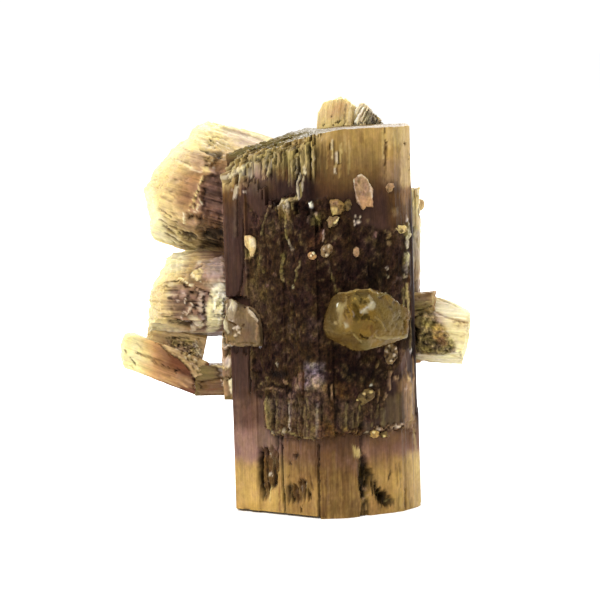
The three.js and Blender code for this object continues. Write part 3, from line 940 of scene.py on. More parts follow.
l cream .8 1.6 .1 404.4,254 404.2,266
l khaki .7 1.8 .1 401.4,256 401.6,264
l ash .8 2.4 .2 391.6,283 394.6,279 399,277 403,277
d blush .7 1 .15 403.4,277,1.6 385.4,268,1.2 386,276,1.3
d black .7 1.4 -.15 387,272,1.8 390,276,1.6
a plum .8 3 -.05 391,284 402,282 403,300 396,304 390,294
l brown .7 3 .1 407,276 406.6,300
l khaki .6 1.6 .1 404.6,286 404,298
# below the clear crystal
a night .9 5 -.1 328,341 350,352 362,366 340,392 326,372
a black .75 5 -.1 338,366 384,366 384,382 340,384
a umber .6 5 0 334,382 362,384 358,398 336,398
a grape .5 4 0 352,384 362,384 360,394 352,394
l ash .8 2 .15 357,350 356.4,357
d lumpy .8 1.2 .18 365.4,363,1.8 358.6,361,1.2
l lumpy .9 2 .18 376.6,361 375.4,367
d mauve .7 1.2 .12 377.6,350.6,1.6
d white .95 1 .25 369,385,1.6
l flesh .9 2 .25 389.6,371 388,374 387.2,380 387.4,389
l flesh .8 1.6 .2 384.6,393 382.4,399
d flesh .9 1.4 .2 393,378,2 396,377,1.4
a tan .6 2 .1 401,373 408,372 408,381 402,381
d sand .9 1 .2 405.8,378.6,1.8
a orange .35 3 0 394,380 409,380 408,391 396,391
d blush .8 .8 .15 403.4,387,1.3
l flesh .8 1.6 .1 404,361 403.8,370
a dusk .7 3 0 389,382 396,382 396,391 389,391
a umber .6 3 0 362,398 372,400 372,424 362,424
l straw .75 2.4 .1 404.6,284 406,300 406.6,316
l khaki .6 2 .08 401,288 402.4,300 402,312
l umber .8 1.6 -.1 409.6,286 410,316
l black .9 5 -.2 411.6,320 412.6,332 412,354
l khaki .7 2 .1 408,320 408,346
d white .8 .8 .1 408.4,349,1.4
l tan .7 2.4 .1 412,360 412.6,380
l sand .6 1.8 .08 408,380 409,420
a ash .6 4 0 268,398 328,398 328,434 272,434
a brown .3 4 0 268,416 328,416 328,436 272,436
a ash .3 4 0 334,400 402,398 402,424 336,428
l khaki .8 1.8 .15 268.8,398 269.6,410 272,424 275,430
l khaki .5 1.3 .1 281,402 281.4,428
l umber .7 1.4 -.12 285.6,400 286,430
l bone .6 1.4 .1 292.6,402 293,430
l umber .7 1.4 -.12 296.4,404 296.6,430
l khaki .5 1.3 .08 311.6,398 312,432
l umber .5 1.3 -.1 324.6,402 325,432
l khaki .5 1.4 .08 356,404 356.4,424
l umber .5 1.4 -.1 364.4,404 364.8,420
l khaki .5 1.4 .08 369.4,404 369.8,424
l dark .8 1.6 -.05 274,436 290,436.8 304,438.8 318,441
# ledges
l honey .9 2 .2 344,428 347.6,431 353,431.6 358,432.6
d black .95 1.6 -.5 359,428,2.6 360.6,424.6,2.2 357.4,431,1.8
a ash .7 2 .2 361,421 366,420 367,430 362,430
l flesh .9 2.6 .35 368,431 374,430 380,429.4 388,427.4 394,426.4 402,425.4
l blush .95 2 .2 393,427.4 397,426.4 401,425.6
l umber .85 1.8 -.25 372,426.6 384,425.6 392,424
d bone .9 .8 .2 376.8,430,1.5 364.6,432.4,1.4 274.6,430.6,1.6 277,432,1.3
l flesh .9 1.8 .25 385.4,437 387.6,433.6 392,431
l umber .7 1.6 -.2 389,432 402,428.6 414,432
l honey .8 3 .2 271,428 276,433.6
l khaki .9 2 .3 280,432.4 286,430.4 294,432.4 300,434.6
l bone .8 1.5 .25 288,428 288.6,432
d umber .8 1 -.25 283,434,1.4 291,430,1.6 296,428,1.4 286.6,424.6,1.3 299.4,431,1.2
l khaki .8 2 .2 310,437.4 316,436.8 322,437.6
a brown .7 3 .05 322,424 335,424 336,440 323,440
l olive .7 2 .1 326,438 334,440 341,440
# the smooth lower part: pinkish above, honey below
a mauve .55 9 0 234,400 262,400 262,440 234,440
a brick .4 6 0 244,404 258,404 258,436 244,436
a umber .45 6 0 238,390 258,390 258,428 238,428
l plum .5 4 0 238,408 250,402 258,396
l plum .4 3 0 236,424 248,418 258,420
a plum .3 6 0 240,412 257,404 256,418 242,428
a mauve .9 8 0 232,428 262,430 262,456 232,456
a corn .95 10 0 230,462 262,466 262,522 230,522
a gold .8 5 0 232,502 282,502 282,522 232,522
a honey .6 6 0 244,476 262,478 262,498 246,498
a corn .85 5 0 266,488 282,486 282,516 262,514
a ash .7 4 0 258,430 281,434 281,452 259,450
a brown .85 5 0 283,438 318,440 318,464 283,464
a tawny .8 7 0 288,466 318,466 316,520 284,516
a brown .5 5 0 300,466 319,466 318,488 300,488
a umber .95 6 0 318,434 362,430 362,454 318,456
a brown .95 5 0 318,452 362,450 362,520 318,522
a amber .3 8 0 320,488 358,488 358,522 320,522
a brown .8 6 0 366,434 416,430 416,448 368,450
a rose .5 5 0 366,446 416,442 416,458 368,462
a tawny .9 8 0 366,456 396,454 394,522 366,520
a honey .8 7 0 374,462 392,462 390,486 376,484
a honey .9 6 0 394,458 420,456 421,516 394,518
a sand .7 4 0 408,452 422,450 423,512 411,512
l brown .6 1.8 -.05 405,456 406,508
l straw .4 2 .03 400,470 401,506
l honey .5 2 0 306,466 306,516
l brown .5 1.6 -.05 312,440 313,470
l amber .5 3 0 334,452 335,512
l umber .4 2 -.03 342,456 343,512
l umber .4 2 -.03 351,448 352,506
l flesh .5 2 0 328,470 328,506
l brown .4 2 -.03 384,452 384,484
a umber .5 6 0 284,436 316,438 316,478 286,478
a umber .3 8 0 320,436 360,436 358,520 320,520
a umber .4 5 0 330,438 360,436 358,458 330,458
a brown .35 6 0 366,440 404,440 400,474 368,474
a rust .2 5 0 288,478 316,474 314,516 290,516
l umber .35 3 0 344,440 342,476 345,516
l umber .3 2.5 0 326,440 328,470 325,512
l umber .3 2 0 308,440 307,476
l brown .3 2 0 299,446 298,476
l umber .5 1.8 -.1 400,462 400.6,486 399,512
l umber .4 1.6 -.08 412,440 412.6,480 411,508
l umber .3 2 0 388,438 390,470 388,480
# clefts in it
a dark .65 1.6 -.25 258,449 270,447 277,450 277.4,486 270,490 262,495 259,480
l brown .7 2.4 .1 268,452 268.6,474
l ash .7 2 .1 273,458 273.4,470
a dark .75 1.6 -.3 284,489 290,484 296,486 300,478 308,482 311.6,497 304,500 296,503 287,504
l brown .6 2 .1 293,488 293,498
l ash .6 1.4 .1 301,482 301.4,494
a black .85 1.6 -.35 361,458 367,456 371,474 366,500 361,496
a black .85 1.6 -.35 368,476 376,486 386,492 392,500 388,506 380,503 373,494 367,484
a black .9 1.5 -.3 276,434 283,436 282,447 276,447
a umber .9 1.8 -.25 258,458 262,447 276,449 279,466 277,484 271,488 268,498 262,498 258,482
l black .95 2.4 -.35 260.6,454 259.4,470 260.6,484 263.6,499
l black .9 2 -.3 266.4,448 265,462 266,478 268.4,494
l black .9 3.2 -.3 272.4,464 274,478 272.6,486
l dark .9 1.8 -.25 277.6,448 278,472
l lumpy .8 3 .1 269.4,446 270,456
l brown .8 2 .1 263,456 262.6,478
a lichen .9 1.5 .05 270,458 276,456 276,465 271,467
d bone .95 .8 .15 269,474,1.6 269.6,452,1.2
l straw .8 1.8 .1 270.6,488 270.6,500
l black .95 2.4 -.45 281.4,446 282,470 283,494 285,516
l rust .8 1.6 -.1 279.4,474 279.6,512
l dark .9 3 -.3 288.6,488 292,500
l umber .85 2.4 -.25 294.6,485 297,500
l umber .9 3.6 -.2 299.6,483 301.4,492
l dark .95 3 -.3 304,484 307,493 310,500
l umber .8 2.4 -.2 310.4,478 312,490
d bone .6 1 .05 305.4,486,1.5 300.4,488,1.1
d dark .95 1 -.3 295,457,2.4 298,456,1.3 290.4,465,1.3 301,508,1.6
l umber .8 2 -.1 315.4,442 316,462 314.6,478
l dark .85 2.6 -.35 318.6,446 318.4,470 319,496 319,520
d umber .85 1 -.1 326,482,1.6 324,516,2 346,473,1.3 306,452,1.1 289,476,1.1 330,444,1.2
a umber .4 3 0 320,500 330,494 334,518 320,520
a black .95 1.3 -.45 360,457 364,455 369,468 369.6,482 366,489 370,502 369,518 361,518 362.6,494
+ 359,484 358.6,470
d flesh .9 1 .2 366,488,1.6 365,499,1.5 368,494,1.1 366.6,507,1.2
l black .95 4 -.35 370,470 373,480 378,489 382,496
a black .92 1.5 -.35 374,489 383,489 387,498 395,500 394,506 385,507 377,501
d khaki .8 1 .1 388,501,1.4 380,494,1.1
l dark .8 1.4 -.2 386,492 390,496
l dark .85 2 -.2 391,472 389,478
l brown .6 1.6 -.1 396.4,464 398,482
l umber .7 1.8 -.15 405.4,486 405.6,510
a straw .8 1.5 .12 352,448 360,449 361,456 355,457
l dark .8 2.4 -.2 361,433 362,456
l olive .7 3 .1 362,458 360.6,470
l ash .7 2 .12 356.6,462 358.6,478
l straw .6 2 0 413,430 417,470 419,505
""")
MAIN_FACES = [
    (-127, 10.3), (-90, 12.05), (-63, 11.7), (-32, 12.0), (0, 10.8), (60, 11.3), (90, 12.2), (123, 11.0),
    (180, 10.8),
]


def corners(faces):
    """The corners of the outline that side faces (angle in degrees, distance) leave."""
    points = []
    for (a0, d0), (a1, d1) in zip(faces, faces[1:] + faces[:1]):
        m = np.array([[math.cos(math.radians(a)), math.sin(math.radians(a))] for a in (a0, a1)])
        points.append(np.linalg.solve(m, np.array([d0, d1])))
    return points


# Parallel overgrowth on the front: (from x, to x, how proud it stands, from z, to z), in mm.
GROWTH = [
    (-13, -8.4, 0.6, 25.6, 39.6), (-8.4, -7.0, 0.3, 17.0, 39.4), (-7.0, -6.0, 0.55, 10.2, 38.0),
    (-6.0, -4.2, 0.75, 9.5, 36.6), (-4.2, -2.6, 0.55, 9.4, 37.6), (-2.6, -0.6, 0.85, 9.4, 36.0),
    (-0.6, 0.9, 0.6, 9.5, 34.2), (0.9, 3.2, 0.4, 10.1, 37.4), (3.2, 5.2, 0.55, 9.9, 37.2),
    (5.2, 8.3, 0.45, 10.1, 37.4), (8.3, 10.4, 0.25, 10.4, 37.6),
]


# How high the twin's top is, by place from left to right (columns) and from front to back (rows): the
# left corner is broken away.
TOP_X = [-11.5, -10.8, -9, -7, -5, -3, -1, 3, 11]
TOP_Y = [-12, -5, 0, 5, 12]
TOP_Z = np.array([
    [41.3, 42.0, 42.6, 43.0, 43.5, 44.2, 44.7, 45.3, 45.3],
    [41.4, 42.1, 42.7, 43.1, 43.6, 44.2, 44.7, 45.15, 45.2],
    [41.3, 42.0, 42.6, 43.1, 43.6, 44.3, 44.7, 45.0, 45.1],
    [40.8, 41.4, 42.3, 42.9, 43.5, 44.2, 44.6, 44.9, 45.0],
    [40.6, 41.2, 42.1, 42.7, 43.4, 44.1, 44.5, 44.75, 44.8],
])


def main_top(x, y):
    rows = np.stack([np.interp(x, TOP_X, row) for row in TOP_Z])
    place = np.interp(y, TOP_Y, np.arange(len(TOP_Y)))
    low = np.minimum(place.astype(int), len(TOP_Y) - 2)
    each = np.arange(len(x))
    height = rows[low, each] + (rows[low + 1, each] - rows[low, each]) * (place - low)
    column = fibre_of(x, y, 1.1, 1.4, 5)
    fibre = fibre_of(x, y, 0.4, 0.5, 6)
    ragged = 0.1 + 0.8 * smooth(1, -8, x)
    return height + ragged * (0.6 * (0.7 - column) + 0.35 * (0.5 - fibre))


FOOT_STEP = -1.25  # left of this x, the front of the foot ends a little above the floor


def main_foot(x, y):
    return np.where((x < FOOT_STEP) & (y < -3.8), 0.3, 0.0)


CRUST_AREA = [
    (250, 205), (262, 215), (272, 210), (285, 200), (300, 199), (318, 204), (330, 198), (348, 212),
    (352, 226), (380, 226), (396, 232), (409, 235), (409, 300), (408, 345), (392, 372), (384, 398),
    (380, 412), (362, 430), (332, 437), (272, 433), (266, 410), (254, 388), (251, 345), (250, 300),
    (247, 280),
]


def crust_relief(points):
    """Crust: small grains heaped over and beside each other, from -1 to 1."""
    bent = points + 0.35 * scatter(points, 0.8, 80, 79, 78)
    near, own = cells(bent, (0.4, 0.4, 0.46), 81)
    return 0.7 * (0.45 - near) + 0.45 * (own - 0.5) + 0.8 * fractal(bent, (0.6, 0.6, 0.9), 3, 86, 0.6)


def picture_area(crystal, area, wander, size, soft):
    """1 where a crystal's front lies in an area of the picture whose edge wanders."""
    ragged = crystal.uv + wander * scatter(crystal.base, size, 3, 4)
    return crystal.facing * region(ragged, area, soft)


# Columns on the right (1) and left (-1): (side, from y, to y, how proud, from z, to z), in mm.
SIDE_GROWTH = [
    (1, -2.6, -0.4, 0.15, 7.5, 38.0), (-1, -1.6, 1.4, 0.15, 3.5, 38.0), (-1, 2.6, 5.4, 0.8, 14.0, 36.0),
    (-1, -7.5, -1.6, 0.2, 0.0, 19.5), (1, -7.0, 2.0, 0.15, 0.0, 10.5),
]
BACK_COLUMNS = 9
BACK_HALF = 9.4  # they spread this far either side of the middle, mm
FRAYED_ENDS = [-11.5, -10.5, -8.5, -6, -3, -1, 2], [40.4, 40.9, 41.7, 42.4, 43.1, 43.8, 45.2]  # x, z
FRAYED_LAYERS = 7
FRAYED_STEP = 0.42  # mm


def chance(i, j):
    """A repeatable number from 0 to 1 for two whole numbers."""
    s = math.sin(i * 12.9898 + j * 78.233) * 43758.5453
    return s - math.floor(s)


def main_crystal():
    splits = sorted({g[0] for g in GROWTH[1:]} | {FOOT_STEP})
    rows = 226
    c = Crystal(
        np.eye(4), corners(MAIN_FACES), main_foot, main_top, rows, fine=0.2, coarse=0.42, rings=22,
        splits=splits, finest=(1.6, 0.65), pace=([0, 0.68, 1], [0, 0.77, 1]),
    )
    x, y, z = c.local.T
    front = c.is_side & (y < -3.4)
    fibre = fibre_of(x, y, 0.62, 0.62, 11)
    thread = fibre_of(x, y, 0.3, 0.3, 12)
    crust = picture_area(c, CRUST_AREA, 4, 1.2, 3)
    out = (0.1 * (fibre - 0.5) + 0.04 * (thread - 0.5)) * (1 - 0.6 * crust)
    out *= 1 - 0.7 * smooth(3, 5, x) * smooth(37, 39, z)
    # Overgrowth, ending below in a ragged ledge.
    for x0, x1, proud, z0, z1 in GROWTH:
        ends = (z > z0 + 0.5 * (fibre - 0.5)) & (z < z1 + 1.6 * (thread - 0.5))
        fading = smooth(z1 + 1, z1 - 5, z) if x0 > 0.5 else 1
        out += np.where(front & (x >= x0) & (x < x1) & ends, proud * fading, 0)
    # Columns grown along the other sides.
    for side, y0, y1, proud, z0, z1 in SIDE_GROWTH:
        ends = (z > z0 + 0.8 * (fibre - 0.5)) & (z < z1 + 1.6 * (thread - 0.5))
        out += np.where(c.is_side & (side * x > 8) & (y >= y0) & (y < y1) & ends, proud, 0)
    width = 2 * BACK_HALF / BACK_COLUMNS
    for i in range(BACK_COLUMNS):
        x0 = -BACK_HALF + i * width
        ends = (z > 5 + 9 * chance(i, 2) + fibre) & (z < 33 + 10 * chance(i, 3) - 2 * thread)
        here = c.is_side & (y > 4.5) & (x >= x0) & (x < x0 + width) & ends
        out += np.where(here, 0.2 + 0.9 * chance(i, 1) - 0.3 * fibre, 0)
    # The frayed corner: outer columns end lower than inner ones.
    lower = np.interp(x, *FRAYED_ENDS)
    steep = np.interp(x, [-11.5, -8, -4, 2], [0.8, 0.8, 1.0, 2.2])
    depth = np.zeros(len(x))
    for k in range(FRAYED_LAYERS):
        own = fibre_of(x + 3 * k, y, 0.38, 0.38, 20 + k)
        ends_at = lower + steep * 0.45 * k + 1.3 * (own - 0.5)
        depth = np.where(z > ends_at, FRAYED_STEP * (k + 1), depth)
    comb = fibre_of(x, y, 0.3, 0.3, 33)
    out -= (depth + 0.3 * (comb > 0.6) * smooth(39.0, 40.5, z)) * front * smooth(1.0, -0.5, x)
    c.out = np.where(c.is_side, out, 0)
    behind = smooth(0.1, 0.4, fractal(c.base, (4, 4, 8), 2, 31)) * smooth(8, 12, z) * smooth(42, 38, z)
    crust = np.maximum(crust, (1 - c.facing) * c.is_side * behind)
    grains = crust_relief(c.base)
    heaps = fractal(c.base, (1.7, 1.7, 2.6), 3, 42)
    c.out += np.where(c.is_side, crust * (0.24 * grains + 0.25 * heaps), 0)
    # Colour zones along the crystal.
    tint = painted_all(x, "plum")
    zi = z + 1.2 * fractal(c.base, (3, 3, 5), 2, 50)
    tint = paint(tint, "dusk", smooth(-9, -5, x) * c.facing)
    tint = paint(tint, "amber", smooth(38.5, 42.5, zi + 0.15 * x))
    tint = paint(tint, "honey", smooth(41.5, 46, zi) * smooth(3, 10, x))
    tint = paint(tint, "mauve", smooth(11, 7.5, zi) * smooth(4.5, 7, zi))
    # Honey at the foot: partly its own colour, partly painted glow of light coming through the foot from
    # below.
    tint = paint(tint, "honey", smooth(7.5, 4.5, zi))
    tint = paint(tint, "crust", crust * 0.85)
    raised, tint, cover = picture_marks(c, MAIN_FRONT, tint, warp=0.6, comb=3.2 - 2.2 * crust)
    c.out += np.where(c.is_side, raised, 0) * (0.8 - 0.25 * smooth(34, 38, z) * smooth(3, 1, x))
    crust = crust * (1 - 0.6 * cover)
    upper = ~c.is_side & (z > 20)
    rough = fractal(c.base, (1.1, 1.1, 1.1), 4, 64, 0.6)
    c.out += np.where(upper, 0.14 * rough, 0)
    tint = paint(tint, "brown", 0.6 * upper * smooth(0.0, 0.5, rough))
    pale = smooth(0.0, 0.5, fractal(c.base, (2.4, 2.4, 2.4), 3, 65))
    tint = paint(tint, "straw", 0.5 * upper * pale)
    streaks = fractal(c.base, (0.5, 0.5, 6.0), 3, 57, 0.65)
    blotches = fractal(c.base, (0.6, 0.6, 1.0), 3, 62, 0.65)
    blotches = blotches + 0.8 * fractal(c.base, (1.5, 1.5, 2.6), 3, 63) * smooth(42, 38, z)
    tint = tint * (1 + (1 - crust) * (1 - 0.5 * cover) * (0.24 * streaks + 0.26 * blotches))[:, None]
    tint = paint(tint, "khaki", 0.75 * ~c.is_side * smooth(3, -1, x))
    rim = smooth(40.0, 41.5, z + 0.1 * x) * smooth(1, -2, x)
    tint = paint(tint, "khaki", 0.7 * front * (1 - cover) * rim)
    # Both end faces at 0.55 of their colour: painted shade on the top face. The front of the frayed top is up
    # to a fifth darker.
    tint = tint * np.where(c.is_side, 1 - 0.2 * front * smooth(39, 41, z) * smooth(2, 0, x), 0.55)[:, None]
    patch = fractal(c.base, (2.6, 2.6, 3.6), 3, 58)
    speck = fractal(c.base, (0.5, 0.5, 0.6), 3, 59, 0.6) + 0.3 * patch + 0.35 * np.clip(grains, -1, 1)
    tint = paint(tint, "dusk", crust * 0.6 * smooth(0.0, 0.4, fractal(c.base, (1.6, 1.6, 2.4), 3, 61)))
    tint = paint(tint, "lichen", crust * 0.6 * smooth(0.12, 0.6, speck))
    tint = paint(tint, "night", crust * 0.8 * smooth(0.05, 0.55, -speck))
    tint = tint * (1 + 0.8 * crust * fractal(c.base, (0.26, 0.26, 0.38), 2, 66))[:, None]
    # Painted shade: black in the hollows of the relief. Painted highlight: straw on the raised fibres of the
    # frayed corner.
    relief = c.hollows(4)
    high = np.clip(relief / 0.22, -1, 1)
    tint = paint(tint, "black", np.clip(-high, 0, 1) * 0.5 * smooth(8, 12, z))
    frayed = front * smooth(38.5, 41, z) * smooth(1.5, -1, x)
    tint = paint(tint, "straw", 0.45 * np.clip(high, 0, 1) * frayed)
    fibrous = c.facing * smooth(1.5, -0.5, x) * smooth(38.6, 40.6, z + 0.16 * x)
    write_crystal("main_crystal", c, np.clip(tint, 0.0008, 0.95), crust, ARAGONITE, fibrous * 0.75)


main_crystal()


def frame_along(foot, tip):
    """A crystal's matrix, and its length. Its local Z runs from foot to tip, and its local -Y towards
    the front, or up where it points back."""
    foot, tip = np.array(foot, float), np.array(tip, float)
    w = tip - foot
    length = np.linalg.norm(w)
    w /= length
    behind = np.array([0, 1.0, 0]) if abs(w[1]) < 0.7 else np.array([0, 0, -1.0])
    v = behind - w * (w @ behind)
    v /= np.linalg.norm(v)
    m = np.eye(4)
    m[:3, 0], m[:3, 1], m[:3, 2], m[:3, 3] = np.cross(v, w), v, w, foot
    return m, length


def hexagon(m, across, flat, turn):
    """A hexagon across the crystal, turned from the direction that is nearest to straight up."""
    w = m[:3, 2]
    up = np.array([0, 0, 1.0]) - w * w[2]
    up /= np.linalg.norm(up)
    side = np.cross(w, up)
    corners_ = []
    for angle in range(0, 360, 60):
        a = math.radians(angle + turn + 30)
        p = across * math.cos(a) * up + across * flat * math.sin(a) * side
        corners_.append((p @ m[:3, 0], p @ m[:3, 1]))
    return counter_clockwise(corners_)


def counter_clockwise(polygon):
    area = sum(a[0] * b[1] - a[1] * b[0] for a, b in zip(polygon, polygon[1:] + polygon[:1]))
    return polygon if area > 0 else polygon[::-1]


def ramp(stops, x):
    """Colours along a scale of (place, colour name)."""
    places = [s[0] for s in stops]
    colours = np.array([PALETTE[s[1]] for s in stops])
    return np.stack([np.interp(x, places, colours[:, k]) for k in range(3)], axis=1)


def side_crystal(
    name, foot, tip, across, flat, turn, dome, *, start, zones, seed, ragged, fine, groove, outline=None,
    end=((0, 0), (1, 0)), marks=(), edge=(), edge_glow_and_colour=(), coarse=0.36, steps=0.24, plates=0.12,
    fray=(0, 0.0), fray_reach=4.0, crust=0.0, crust_area=(),
):
    """A crystal grown through the side of another, from foot to tip. Sizes are in mm.

    across, flat, turn: its hexagon's radius, depth over width, and turn in degrees; outline replaces it.
    dome, ragged: how far the end's rim and single fibres stop short. start: where its skin begins.
    end: how far the end stops short, by height over the axis, or from left to right where it stands up.
    zones: its colours by distance from the free end; their palest first stops are partly the tip's cream and
    partly painted glow of light through it. edge_glow_and_colour: by distance (px) from a line, edge; its
    first stops are painted glow of light through the thin edge.
    groove, plates: how deep its fibres and growth steps are. fray: how many layers end early near the
    tip, and how thick each is. fine, coarse, steps: the mesh's steps round the front, the back and along.
    """
    m, length = frame_along(foot, tip)
    polygon = outline or hexagon(m, across, flat, turn)
    side = -1 if m[2, 0] < -0.5 else 1
    places, shorter = zip(*end)

    def end_at(x, y):
        return length - np.interp(side * x, places, shorter) - dome * (y / (across * flat)) ** 2

    def tip_at(x, y):
        own = fibre_of(x, y, 0.7, 0.5, seed)
        thread = fibre_of(x, y, 0.3, 0.3, seed + 1)
        return end_at(x, y) - ragged * (0.6 * (own - 0.5) + 0.4 * (thread - 0.5))

    def foot_at(x, y):
        return np.full_like(x, start)

    rows = int((length - start) / steps)
    rings = int(across * 0.9 / (fine * 1.15))
    c = Crystal(m, polygon, foot_at, tip_at, rows, fine=fine, coarse=coarse, rings=rings)
    x, y, z = c.local.T
    cap = (~c.is_side) & (c.normal[:, 2] > 0)
    c.facing = np.where(cap, smooth(0.15 * across, -0.25 * across, y), c.facing)
    fibre = fibre_of(x, y, 0.62, 0.62, seed + 2)
    thread = fibre_of(x, y, 0.27, 0.27, seed + 3)
    _, plate = cells(c.local, (2.4, 2.4, 3.6), seed + 4)
    out = groove * (fibre - 0.5) + 0.4 * groove * (thread - 0.5) + plates * (plate - 0.5)
    out += 0.1 * fractal(c.local, (1.4, 1.4, 3.6), 3, seed + 5)
    near_tip = end_at(x, y) - z
    layers, depth = fray
    for k in range(layers):
        own = fibre_of(x + 3 * k, y, 0.7, 0.7, seed + 20 + k)
        out -= np.where(near_tip < fray_reach * (1 - k / layers) * (0.3 + 1.2 * own), depth, 0)
    c.out = np.where(c.is_side, out, 0.12 * fractal(c.local, (0.8, 0.8, 2), 2, seed + 6))
    past = np.maximum(near_tip, 0) + 0.9 * fractal(c.base, (2.2, 2.2, 2.2), 3, seed + 7)
    # The palest colours at the free end: partly the tip's cream, partly painted glow of light through the
    # thin tip.
    tint = ramp(zones, past)
    # Along the outline: painted glow of light through the thin edge, fading inwards into the crystal's
    # colours.
    if edge:
        inwards = line_distance(c.uv + 1.6 * scatter(c.base, 0.9, 5, 6), edge)
        tint = mix(tint, ramp(edge_glow_and_colour, inwards), c.facing)
    grains = crust_relief(c.base)
    patchy = smooth(0.0, 0.3, fractal(c.base, (3, 3, 3), 2, seed + 8))
    crusted = crust * (patchy * smooth(1.5, 3, past) * (1 - c.facing))
    if crust_area:
        crusted = np.maximum(crusted, picture_area(c, crust_area, 3, 1.0, 2))
    tint = paint(tint, "moss", 0.75 * crusted)
    c.out += np.where(c.is_side, crusted * 0.22 * grains, 0)
    raised, tint, cover = picture_marks(c, marks, tint, warp=0.6, comb=2.0)
    c.out += 0.7 * raised
    tint = tint * (1 + crusted * 0.5 * np.clip(grains / 0.5, -1, 1))[:, None]
    # Painted light and shade: raised places lighter, hollows darker, the deepest down to a third. The fibre
    # term is the fibres' own tone.
    relief = c.hollows(3)
    high = np.clip(relief / 0.16, -1, 1)
    tint = tint * (1 + 0.16 * high + 0.12 * (thread - 0.5) * c.is_side)[:, None]
    tint = mix(tint, tint * 0.35, np.clip(-relief / 0.35, 0, 1))
    write_crystal(name, c, np.clip(tint, 0.001, 0.95), crusted, TRANSLUCENT)


